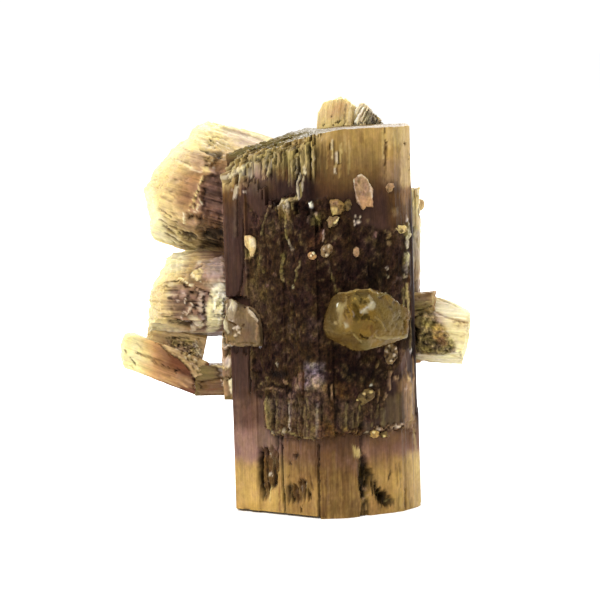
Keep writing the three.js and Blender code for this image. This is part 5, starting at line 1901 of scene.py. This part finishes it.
RIGHT_COLUMN_FRONT = read_marks("""
a blush .7 2 0 410,183 424,183 422,230 410,230
a butter .6 2 0 412,184 420,184 420,206 412,206
a bone .7 2 0 411,230 423,230 420,292 409,292
a butter .75 2 0 410,184 424,184 424,230 410,230
l olive .9 2.2 -.35 410,187 410.4,205
l straw .7 1.3 -.1 415,186 414,206 414,226
l olive .7 2 -.2 419,206 419,216
l mauve .7 3 -.1 411,208 411,226
l cream .9 1.6 .2 416,226 413,236
l dark .85 4.2 -.5 412,230 411,238 409,252 408,268
d black .9 .8 -.5 411,233,1.8 412,238,1.6 409,249,2 411,255,1.8 408,262,2 407,270,2
d straw .8 .7 .2 412,243,1.4 409,257,1.2 411,247,1
l cream .8 1.4 .1 413,256 412,276 411,290
l straw .7 1.6 -.1 417,238 418,246
l tan .6 1.4 -.1 415,262 414,290
l brown .6 2.4 -.1 409,276 408,292
""")
side_crystal(
    "right_column", (-0.2, 0, 16.5), (0.2, 0, 37.6), 2.5, 1.0, 0, 0.1, start=0.0, seed=840, ragged=0.4,
    outline=[(9.4, 1.0), (11.7, 1.2), (12.0, 2.2), (11.75, 5.6), (10.8, 6.7), (9.4, 6.9)],
    zones=[(0, "butter"), (2, "blush"), (6, "bone"), (10, "tan"), (15, "mauve"), (19, "tan")],
    marks=RIGHT_COLUMN_FRONT,
    fine=0.14, coarse=0.3, groove=0.14, plates=0.25, crust=0.5, steps=0.2,
)


# ---- Grown-on grains, flakes and plates ----
class Patch:
    """Points of a small piece, for colouring by picture position."""

    def __init__(self, points, normals):
        self.base = points
        self.uv = to_picture(points)
        self.facing = smooth(0.0, 0.25, normals @ BACK)


def hull(points):
    """The convex hull of some points, as a mesh."""
    mesh = bmesh.new()
    for p in points:
        mesh.verts.new(p)
    made = bmesh.ops.convex_hull(mesh, input=mesh.verts)
    spare = {v for v in made["geom_interior"] + made["geom_unused"] if isinstance(v, bmesh.types.BMVert)}
    bmesh.ops.delete(mesh, geom=list(spare), context="VERTS")
    return mesh


SPLITS = 7  # at most this many times is an edge halved


def refine(mesh, size):
    """Splits edges until none is much longer than the given size."""
    for _ in range(SPLITS):
        bmesh.ops.triangulate(mesh, faces=[f for f in mesh.faces if len(f.verts) > 3])
        long = [e for e in mesh.edges if e.calc_length() > size * 1.4]
        if not long:
            break
        bmesh.ops.subdivide_edges(mesh, edges=long, cuts=1, use_grid_fill=False)
    bmesh.ops.triangulate(mesh, faces=[f for f in mesh.faces if len(f.verts) > 3])


def arrays(mesh):
    """A mesh's points, their normals and its triangles."""
    mesh.normal_update()
    mesh.verts.ensure_lookup_table()
    mesh.verts.index_update()
    points = np.array([v.co for v in mesh.verts])
    normals = np.array([v.normal for v in mesh.verts])
    faces = np.array([[v.index for v in f.verts] for f in mesh.faces])
    return points, normals, faces


FACET_STEP = 0.17  # mm between the points of a facet
FLAT_ENOUGH = math.radians(9)  # facets that meet at less than this are one


def bevelled(mesh, offset, **settings):
    edges = list(mesh.edges)
    bmesh.ops.bevel(mesh, geom=edges, offset=offset, affect="EDGES", clamp_overlap=True, **settings)


def write_piece(name, points, faces, tint, crust, material):
    attributes = {"tint": np.clip(tint, 0.001, 0.95), "along": points, "crusted": np.full(len(points), crust)}
    write_mesh(name, points, faces, attributes, material)


def faceted(name, spots, colour, seed, marks, bevel, bumps, lumps, shade, lift, material):
    """A faceted lump: the hull of some points, bevelled, roughened by small bumps and broad lumps (mm),
    with its colour shaded unevenly and then lifted or darkened as a whole."""
    mesh = hull(spots)
    bmesh.ops.dissolve_limit(mesh, angle_limit=FLAT_ENOUGH, verts=mesh.verts, edges=mesh.edges)
    bevelled(mesh, bevel, segments=2, profile=0.6)
    refine(mesh, FACET_STEP * (1))
    points, normals, faces = arrays(mesh)
    mesh.free()
    patch = Patch(points, normals)
    uneven = fractal(points, (1.2, 1.2, 1.6), 3, seed)
    tint = painted_all(points, colour) * (1 + shade * uneven)[:, None]
    raised, tint, _ = picture_marks(patch, marks, tint, warp=0.9)
    small, broad = fractal(points, (0.5, 0.5, 0.5), 3, seed + 1), noise(points, 1.8, seed + 2)
    points = points + normals * (raised + bumps * small + lumps * broad)[:, None]
    write_piece(name, points, faces.tolist(), tint * lift, 0.0, material)


# Painted highlight along the plate's right rim, with painted shade beside it.
PLATE_FRONT = read_marks("""
a taupe .5 6 0 228,322 256,322 256,342 228,342
a ash .4 4 0 246,322 257,322 257,342 246,342
a bone .9 2 .15 230,299 236.6,299 237,319 230,319
l cream .9 1.4 .1 231.4,304 231.4,311
l cream .8 1.2 .1 234,303 234.2,310
l olive .8 2.4 -.1 238,299 238.4,310
l olive .6 1.2 -.05 229.4,302 229.4,318
l blush .8 1.4 .1 227.8,304 227.8,318
a black .95 1.5 -.2 223.6,300 226.6,300 226.8,318 223.6,318
a lumpy .7 2.5 .05 231,310 241,310 241,320 231,320
l olive .7 1.6 -.1 238,304 237.6,318
d blush .9 .8 .12 232,320.6,1.3 235,320.6,1.1
l brown .9 2 -.2 230,321 234,324 238,329
d blush .95 .9 .2 239,327,1.8 235.6,328,1.5 240,332.4,1.6 237,335,1.3 238,330,1.2
d umber .8 .8 -.15 237.6,330.6,1 241.4,329,1.2 233.6,331,1.4 244,325,1.3
a cream .9 2 .15 222,320 227,320 228,330 222,330
l bone .7 2 .1 228,322 229,332
l black .9 2 -.2 219,328 223.6,332.6 224.6,337 225,345
l flesh .8 2.2 .15 227,336 227.4,343
a amber .9 1.6 .1 228.4,335 236,335 236,341 228.4,341
l flesh .7 1.8 .1 228,343 236,343.6
a rust .35 5 0 240,330 250,332 250,342 240,342
l flesh .9 1.6 .08 245,303.4 248,306
d dark .8 .8 -.12 245.6,307.6,1.1
d flesh .8 .8 .1 246.6,310,1.2
a olive .6 2 -.05 241.6,311 244.6,311 244.6,318 241.6,318
l blush .9 1.7 .15 247,309.4 249.6,312.6 252.6,315.6 255.4,318 257,321
l dark .8 2 -.15 250,308.6 253.4,312 257,315.4 259,319
l flesh .6 1.6 .1 257,322 257.4,340
l olive .8 1.6 -.1 238,343.4 256,343.4
l bone .9 1.8 .15 231.6,344.6 233,348
""")
faceted(
    "glassy_plate",
    [(-11.5, -5.2, 25.2), (-10.2, -7.3, 25.3), (-9.2, -8.0, 24.6), (-8.0, -9.0, 23.5), (-7.5, -9.3, 22.2),
     (-7.5, -9.2, 20.4), (-8.2, -8.8, 20.0), (-11.6, -5.4, 20.0), (-11.5, -2.5, 25.2), (-11.6, -2.5, 20.0),
     (-7.0, -7.0, 24.0), (-7.0, -7.0, 20.0)],
    "taupe", 900, PLATE_FRONT, bevel=0.35, bumps=0.22, lumps=0.3, shade=0.8, lift=0.85, material=TRANSLUCENT,
)


# Chips on the main crystal's front, one a line: form, colour, how proud they stand (mm), outline (px).
CHIPS = """
flat flake 0.45 352,179 355,177 357,175 361,174 366,178 370,184 372.5,190 372,200 373,207 366,206
+ 363,210 360,206 356,202 355,195 353.5,187
round amber 0.7 329,201 334,199 339,200 345,203 345,210 340,215 334,216 330,211
round olive 0.5 345,201 348,199 351.5,203 350,209 346,212 343,207
round lumpy 0.5 327,219 331,216 340,216 338,223 333,228 327,226
round tan 0.6 308,254 311,251 315,252 317,257 312,260 308,258
round lumpy 0.5 321,248 325,244 331,243 333,248 331,254 325,258 321,255
round flesh 0.5 352,250 355,247 359,248 360,253 357,257 353,255
round straw 0.5 394,227 399,225 406,226 407,231 401,233 395,232
round lumpy 0.5 384,346 389,342 396,344 398,352 396,360 390,366 384,360
round olive 0.45 354,398 362,391 372,388 376,394 370,402 358,406
flat blush 0.35 252,328 255,325 258,328 258,340 252,341
flat sand 0.5 245,236 250,235 255,238 257,244 256,250 254,256 251,256 249,250 246,246 244.5,240
round flesh 0.35 385,186 390,182 394,184 393,190 389,193 386,190
round honey 0.5 367,431 373,429 379,431 379,437 371,438
round olive 0.5 380,431 386,430 388,435 384,438 380,436
"""
CHIP_MARKS = read_marks("""
# the pinkish flake
l blush .75 1.8 .05 357,175 362,175 367,179 371,186 372,198
l pink .8 1.5 .05 353,180 354,188 357,198 360,205
d cream .85 .8 .1 353,180.6,1.6
a orange .55 3 0 358,196 372,198 372,207 362,208
d olive .8 .8 -.08 358.6,181,1.3 364,182.7,1.2 356.3,185,1.4 360,194,1
l mauve .6 1 -.05 357,190 366,196
# olive lumps
a straw .7 1.5 .1 331,208 337,207 338,213 333,215
a mauve .5 2 0 330,201 338,200 338,205 331,206
d umber .7 1 -.15 341,206,1.5 335,204,1.2
l butter .9 1.8 .15 335,223 338,219 341,216
d mauve .6 1 0 330,223,1.6
d cream .85 .8 .1 313.6,253,1.6 311,256,1
d bone .9 .8 .1 327,255,1.5 329,246,1.5 324,249,1.2
d umber .8 .8 -.15 331,250,1.2 326,252,1
d blush .85 .8 .15 386,351,1.6 394,355,1.5 391,361,1.3 389,346,1.2 396,348,1.1
d dark .85 .8 -.2 390,350,1.2 393,359,1 387,357,1.3 394,345,1
d straw .8 .8 .15 364,394,1.6 371,392,1.6 357,400,1.3
d dark .7 .8 -.15 367,398,1.5 361,402,1.2
a cream .8 1.5 0 249,238 254,238 255,247 250,247
l flesh .6 1.8 0 245,240 248,248 251,255
d butter .8 .8 .1 374,432,1.6 384,436,1.5
""")


def surface_of(name):
    """A piece's surface, in mm, for finding what is seen at a place."""
    mesh = bpy.data.objects[name].data
    faces = [tuple(polygon.vertices) for polygon in mesh.polygons]
    return BVHTree.FromPolygons([Vector(tuple(c / MM for c in v.co)) for v in mesh.vertices], faces)


def seen_at(tree, u, v):
    """The point (mm) that is seen at a place in the picture, and its surface's direction."""
    ray = sight(u, v)
    towards = Vector((ray / np.linalg.norm(ray)).tolist())
    place, normal, _, _ = tree.ray_cast(Vector(EYE.tolist()), towards)
    return (np.array(place), np.array(normal)) if place else (None, None)


# A chip's rings: (size, how far it is sunk in mm or 0, share of the chip's height).
FLAT_RINGS = [
    (1.05, -1.0, 1.0), (1.03, -0.2, 0), (1.0, 0, 0.6), (0.95, 0, 0.9), (0.84, 0, 1), (0.68, 0, 1),
    (0.5, 0, 1), (0.3, 0, 1), (0.12, 0, 1),
]
ROUND_RINGS = [
    (1.05, -1.0, 1.0), (1.04, -0.2, 0), (1.0, 0, 0.3), (0.93, 0, 0.6), (0.82, 0, 0.82), (0.66, 0, 0.95),
    (0.48, 0, 1), (0.28, 0, 1.05), (0.12, 0, 1),
]
CHIP_STEP = 0.9  # px between points of a chip's outline


def chip(tree, form, colour, proud, *outline, seed):
    """A small grain or flake: rings of its outline, from its sunk foot up to its uneven face."""
    outline, proud, is_round = places_of(outline), float(proud), form == "round"
    spots = []
    if is_round:
        sides = zip(outline, outline[1:] + outline[:1])
        outline = [tuple(np.array(a) + (np.array(b) - a) * t) for a, b in sides for t in (0.25, 0.75)]
    for a, b in zip(outline, outline[1:] + outline[:1]):
        a, b = np.array(a, float), np.array(b, float)
        n = max(1, int(round(np.linalg.norm(b - a) / CHIP_STEP)))
        spots += [a + (b - a) * k / n for k in range(n)]
    spots = np.array(spots)
    flat3 = np.concatenate([spots, np.zeros((len(spots), 1))], axis=1)
    wander = [fractal(flat3, (3.2, 3.2, 1), 2, seed + k) for k in (0, 1)]
    spots += (1.3 if is_round else 0.7) * np.stack(wander, axis=1)
    hits = [seen_at(tree, u, v) for u, v in spots]
    kept = [h for h in hits if h[0] is not None]
    flat = np.mean([h[0] for h in kept], axis=0)
    facing = np.mean([h[1] for h in kept], axis=0) + 1.5 * BACK
    facing /= np.linalg.norm(facing)
    rays = [sight(u, v) for u, v in spots]
    loop = np.array([EYE + ray * ((flat - EYE) @ facing) / (ray @ facing) for ray in rays])
    centre = loop.mean(axis=0)
    away = loop - centre
    n = len(loop)
    rings = ROUND_RINGS if is_round else FLAT_RINGS
    points, height = [], []
    for wide, sunk, rise in rings:
        p = centre + away * wide + facing * (sunk if sunk else rise * proud)
        if not sunk:
            size = 0.28 if is_round else 0.12
            rough = size * fractal(p, (0.55, 0.55, 0.55), 3, seed) + 0.15 * noise(p, 1.2, seed + 1)
            p = p + np.outer(rough * rise, facing)
        points.append(p)
        height.append(np.full(n, -1.0 if sunk else rise))
    points = np.concatenate(points + [centre[None] + facing * proud])
    height = np.concatenate(height + [np.ones(1)])
    faces = []
    for k in range(len(rings) - 1):
        for i in range(n):
            j = (i + 1) % n
            faces.append((k * n + i, k * n + j, (k + 1) * n + j, (k + 1) * n + i))
    last = (len(rings) - 1) * n
    faces += [(last + i, last + (i + 1) % n, len(points) - 1) for i in range(n)]
    faces.append(tuple(range(n))[::-1])
    a, b = loop[0] - centre, loop[max(1, n // 4)] - centre
    if np.cross(a, b) @ facing < 0:
        faces = [f[::-1] for f in faces]
    tint = painted_all(points, colour)
    mottle = fractal(points, (0.35, 0.35, 0.4), 3, seed + 3)
    tint = tint * (0.88 + 0.4 * mottle)[:, None]
    tint = paint(tint, "night", 0.7 * smooth(0.1, 0.45, -mottle) * is_round)
    patch = Patch(points, np.tile(facing, (len(points), 1)))
    raised, tint, _ = picture_marks(patch, CHIP_MARKS, tint, warp=0.5)
    points = points + np.outer(np.where(height > 0, raised, 0), facing)
    tint = paint(tint, "umber", np.where(height < 0.1, 0.85, 0))
    return points, faces, tint


def join_pieces(name, pieces, crust=0.0):
    """Makes one piece from several, each given by its points, faces and colours."""
    faces, count = [], 0
    for points, own, _ in pieces:
        faces += [tuple(count + int(v) for v in face) for face in own]
        count += len(points)
    points, tint = (np.concatenate([p[k] for p in pieces]) for k in (0, 2))
    write_piece(name, points, faces, tint, crust, TRANSLUCENT)


front = surface_of("main_crystal")
chips = [chip(front, *words, seed=1000 + 7 * i) for i, words in enumerate(rows_of(CHIPS))]
join_pieces("flakes", chips, crust=0.25)


# ---- The clear crystal ----
def clear_material():
    material, tree, shader = nodes_of("clear_crystal")
    link = tree.links.new
    tint, along = from_mesh(tree, "tint", "Color"), from_mesh(tree, "along", "Vector")
    link(tint, shader.inputs["Base Color"])
    cloud = noise_node(tree, along, (0.9, 0.9, 0.9), 3.0)
    link(spread(tree, cloud, 0.3, 0.7, 0.04, 0.2), shader.inputs["Roughness"])
    shader.inputs["Transmission Weight"].default_value = 0.5
    lines = noise_node(tree, along, (0.35, 0.35, 0.35), 3.0)
    bump = node(tree, "ShaderNodeBump", Strength=0.5, Distance=0.0002)
    link(lines, bump.inputs["Height"])
    link(bump.outputs["Normal"], shader.inputs["Normal"])
    shader.inputs["IOR"].default_value = 1.53
    shader.inputs["Specular IOR Level"].default_value = 0.03
    shader.inputs["Specular Tint"].default_value = (0.9, 0.6, 0.1, 1)
    absorb = node(tree, "ShaderNodeVolumeAbsorption")
    absorb.inputs["Color"].default_value = (0.82, 0.6, 0.2, 1)
    absorb.inputs["Density"].default_value = 260.0
    link(absorb.outputs["Volume"], tree.nodes["Material Output"].inputs["Volume"])
    return material


# Painted highlights.
# Painted highlights: the pale patches on the left face.
# what is seen inside: a dark inclusion, with painted highlights in white and cream over it
CLEAR_FRONT = read_marks("""
# left face
a olive .8 4 0 322,334 325,314 330,296 340,292 342,334
a umber .5 3 0 337,293 346,294 346,303 338,303
a umber .4 3 0 331,300 336,298 336,312 331,312
a honey .5 3 0 337,312 352,318 352,330 337,330
a butter .95 2.5 .12 336.5,303.5 345.5,303.5 345,309 341.5,312 337.5,311.5
a sand .8 2.5 .05 338,311 343,311 343.5,320 339,322
a cream .9 1.5 .1 344,322.5 348,322 349,326.5 345,328
d sand .9 1.5 .05 335.6,323.5,2
l sand .35 2.2 .05 347.5,294 346,300 345.6,304
l brown .7 1.6 -.08 345,307 344.4,314 346.6,318
d brown .8 1 -.1 348,312,1.6 350,306,1.5 346.4,309.6,1.2 349.4,316.4,1.3
a tan .6 2 0 345,318 353,318 353,324 345,323
l umber .6 2.4 0 348.6,296 349.2,304
l brown .5 3 0 329,304 327,316 326,330
l umber .5 2 0 333,300 331,312 332,324
l straw .5 2 0 341,308 340,326
l brown .4 2 0 350,294 351,304
# what is seen inside
a khaki .6 3 0 352,294 366,291 376,300 376,308 362,306 352,304
a night .95 1.6 -.15 352,303.6 356,303 359.6,307.6 360.4,320 357,322.6 352.6,319 354,312
l lilac .7 1.4 .05 353.2,311 353.4,316
l night .85 1.8 -.1 357,294 360.6,298 361,303
d night .8 1.2 -.1 364.4,302.4,2 362,299,1.3
l white .95 2.4 .15 361.4,312.6 366,308.6 370,306 372.6,302
a cream .95 1.6 .15 361,310 367,309.6 368,312.6 364,314
a cream .95 1.6 .15 367,304 375.6,303 373.6,309.4 369,310
l cream .6 2 .1 369,296 374,303
d dark .95 1 -.15 366.4,316.4,3 362.6,317.6,2 369,318,1.6
l umber .8 1.6 -.1 369,319 374,322 377,321
# right facet
a khaki .5 4 0 376,300 402,306 404,330 378,330
l sand .5 1.8 .12 375,317 379.6,321 383.4,327 385,330
l khaki .9 2.2 .1 376,296 386,293.6 391,297
d umber .8 1.2 -.1 381,297,1.7 394.6,302,1.6 391,306.6,1.2 399,318.6,1.6
l tan .9 2.2 .15 403,306 409,312 409,318.4
l umber .7 1.6 -.12 399,317 404,320 405,328
a flesh .6 2 0 404,306 411,312 409,320 405,318
l brown .5 2 0 386,300 392,310 398,330
l umber .4 2 0 379,306 383,318
l khaki .5 2.4 0 390,300 402,322
d brown .5 1.6 0 386,322,3 397,311,2.4 402,330,2.4
l umber .5 1.8 0 356,324 362,330 368,329
l rust .5 1.8 0 360,320 366,326 372,330
# top
a moss .7 2.4 0 358,292 370,290 371,295 359,297
l sand .7 2 .15 370.6,289 373.4,292.4 378,294.4
l sand .7 1.6 .1 338,293.4 350,293 360,290.4 370,289
l khaki .8 2 .08 379,292.4 388,293.6
# lower part
a amber .8 4 0 352,319 374,320 376,332 352,332
l rust .9 2 0 371.4,325 372,337
d rust .7 1.4 0 369,327,1.6 374,331,1.4
l amber .9 3 .1 325,330 340,333 352,332.4
a brown .7 2.4 -.05 326,335 354,337 358,343 340,343 329,340
a umber .6 3 -.05 341,341 360,342 358,349 345,348
l straw .8 2.2 .25 354.6,334.4 358,337.4 361.4,341
l dark .95 2 -.25 360.4,334.6 363,338.6 367,338.4
a khaki .7 3 0 360,341 371,340 370,349 361,349
a honey .7 3 0 370,338 382,337 381,345 371,346
l straw .8 3 .1 377,337.4 390,337.6 405,336
l khaki .6 2.2 .05 366,349.4 380,345.4
d bone .9 1 .12 405.6,335.4,1.6
l tan .9 2.2 .08 406.6,320 406.6,333
a brown .6 2 -.05 376,322 381,327 380,334 375,334
d umber .6 1.2 -.05 378,334,1.5 388,331,1.2 392,325,1.3 397,326,1.4
""")


def inside_clear(u, v, y):
    """A point (mm) seen at a place in the picture, at a depth."""
    ray = sight(u, v)
    return EYE + ray * (y - EYE[1]) / ray[1]


# Its corners, by place in the picture and depth y (mm).
CLEAR_POINTS = [
    # its outline
    (337, 293, -13.4), (352, 292.4, -14.1), (362, 289.6, -14.3), (371, 288.8, -14.2), (376, 293, -14.0),
    (388, 293.6, -13.3), (394, 301, -12.9), (402, 305, -12.2), (410, 312, -11.4), (410, 318, -11.3),
    (407, 327, -11.4), (406, 337, -11.7), (397, 341, -12.6), (385, 344.4, -13.5), (372, 348, -14.0),
    (366, 350, -14.2), (350, 350, -13.9), (340, 342, -13.5), (327, 337, -13.0), (324, 326, -12.9),
    (326, 314, -12.9), (331, 299, -13.0),
    # the corners of its face
    (351, 300, -15.3), (352, 329, -15.6), (373, 298, -15.4), (375, 332, -15.8), (364, 340, -15.5),
    (336, 330, -14.6), (392, 312, -14.0), (390, 334, -14.0),
    # what is sunk in the crust
    (338, 296, -9.5), (370, 291, -9.5), (392, 299, -8.0), (405, 312, -7.5), (403, 334, -7.5),
    (380, 343, -9.5), (350, 347, -10.0), (331, 338, -10.0), (327, 316, -10.0),
]
faceted(
    "clear_crystal", [inside_clear(*place) for place in CLEAR_POINTS], "resin", 950, CLEAR_FRONT,
    bevel=0.3, bumps=0.1, lumps=0.14, shade=0.6, lift=0.74, material=clear_material(),
)


GOLDEN = math.pi * (3 - math.sqrt(5))  # the turn that spreads points evenly over a ball
LUMP_POINTS = 18


def lump(place, size, colour, seed, lean):
    """A small irregular grain, as points, faces and colours."""
    spots = []
    for i in range(LUMP_POINTS):
        height = 1 - 2 * (i + 0.5) / LUMP_POINTS
        r = math.sqrt(1 - height * height)
        far = 0.8 + 0.35 * float(hashed(np.int64(i), np.int64(seed), np.int64(3), 5))
        x, y = r * math.cos(i * GOLDEN) * size[0], r * math.sin(i * GOLDEN) * size[1]
        spots.append(np.array([x, y, height * size[2]]) * far)
    c, s_ = math.cos(lean), math.sin(lean)
    spots = [np.array([p[0] * c + p[2] * s_, p[1], p[2] * c - p[0] * s_]) + place for p in spots]
    mesh = hull(spots)
    bevelled(mesh, min(size) * 0.12, segments=1)
    refine(mesh, max(0.12, min(size) * 0.5))
    points, normals, faces = arrays(mesh)
    mesh.free()
    rough = fractal(points, (0.4, 0.4, 0.4), 2, seed)
    points = points + normals * (min(size) * 0.12 * rough)[:, None]
    uneven = fractal(points, (0.5, 0.5, 0.5), 2, seed + 1)
    return points, faces, painted_all(points, colour) * (1 + 0.3 * uneven)[:, None]


join_pieces("inclusions", [
    lump(inside_clear(358, 309, -14.2), (0.55, 0.3, 1.1), "night", 1200, 0.2),
    lump(inside_clear(367, 316, -14.2), (0.6, 0.3, 0.5), "night", 1210, 0.0),
    # Three white flakes where highlights show: painted highlights inside the crystal.
    lump(inside_clear(340, 307, -13.9), (0.5, 0.12, 0.6), "white", 1220, 0.1),
    lump(inside_clear(346, 325, -14.2), (0.35, 0.12, 0.3), "white", 1230, 0.0),
    lump(inside_clear(367, 307, -14.6), (0.8, 0.12, 0.5), "white", 1240, -0.6),
    lump(inside_clear(365, 328, -14.3), (0.7, 0.2, 0.8), "orange", 1250, 0.3),
    lump(inside_clear(358, 333, -14.0), (0.8, 0.2, 0.3), "brown", 1260, -0.3),
])
join_pieces("right_lump", [
    lump(np.array([12.1, 3.2, 35.2]), (0.75, 0.8, 0.85), "sand", 1300, 0.3),
    lump(np.array([11.7, 2.6, 36.0]), (0.5, 0.6, 0.6), "straw", 1310, 0.0),
])


# ---- Floor, light and camera ----
PAPER = (0.95, 0.95, 0.945, 1)
STUDIO_LIGHT = 1.07
# (name, place in metres, watts, size in metres)
LAMPS = (("key", (-0.3, -0.42, 0.55), 5.0, 0.3), ("back", (0.15, 0.5, 0.45), 6.0, 0.5))
LIT_PLACE = (0, 0, 0.025)


def stage():
    bpy.ops.mesh.primitive_plane_add(size=6, location=(0, 0, 0))
    floor = bpy.context.object
    floor.name = "floor"
    material, _, shader = nodes_of("paper")
    shader.inputs["Base Color"].default_value = PAPER
    shader.inputs["Roughness"].default_value = 1.0
    shader.inputs["Specular IOR Level"].default_value = 0.0
    floor.data.materials.append(material)
    world = bpy.data.worlds.new("studio")
    bpy.context.scene.world = world
    world.use_nodes = True
    world.node_tree.nodes["Background"].inputs["Color"].default_value = (1, 1, 1, 1)
    world.node_tree.nodes["Background"].inputs["Strength"].default_value = STUDIO_LIGHT
    for name, place, energy, size in LAMPS:
        light = bpy.data.lights.new(name, "AREA")
        light.energy, light.size = energy, size
        lamp = bpy.data.objects.new(name, light)
        bpy.context.scene.collection.objects.link(lamp)
        lamp.location = place
        aim = Vector(LIT_PLACE) - Vector(place)
        lamp.rotation_euler = aim.to_track_quat("-Z", "Y").to_euler()


def camera():
    data = bpy.data.cameras.new("camera")
    data.lens, data.sensor_width = LENS, SENSOR
    made = bpy.data.objects.new("camera", data)
    bpy.context.scene.collection.objects.link(made)
    turn = Matrix((RIGHT.tolist(), UP.tolist(), BACK.tolist())).transposed().to_4x4()
    turn.translation = Vector((EYE * MM).tolist())
    made.matrix_world = turn
    bpy.context.scene.camera = made


stage()
camera()
bpy.context.scene.view_settings.view_transform = "Standard"
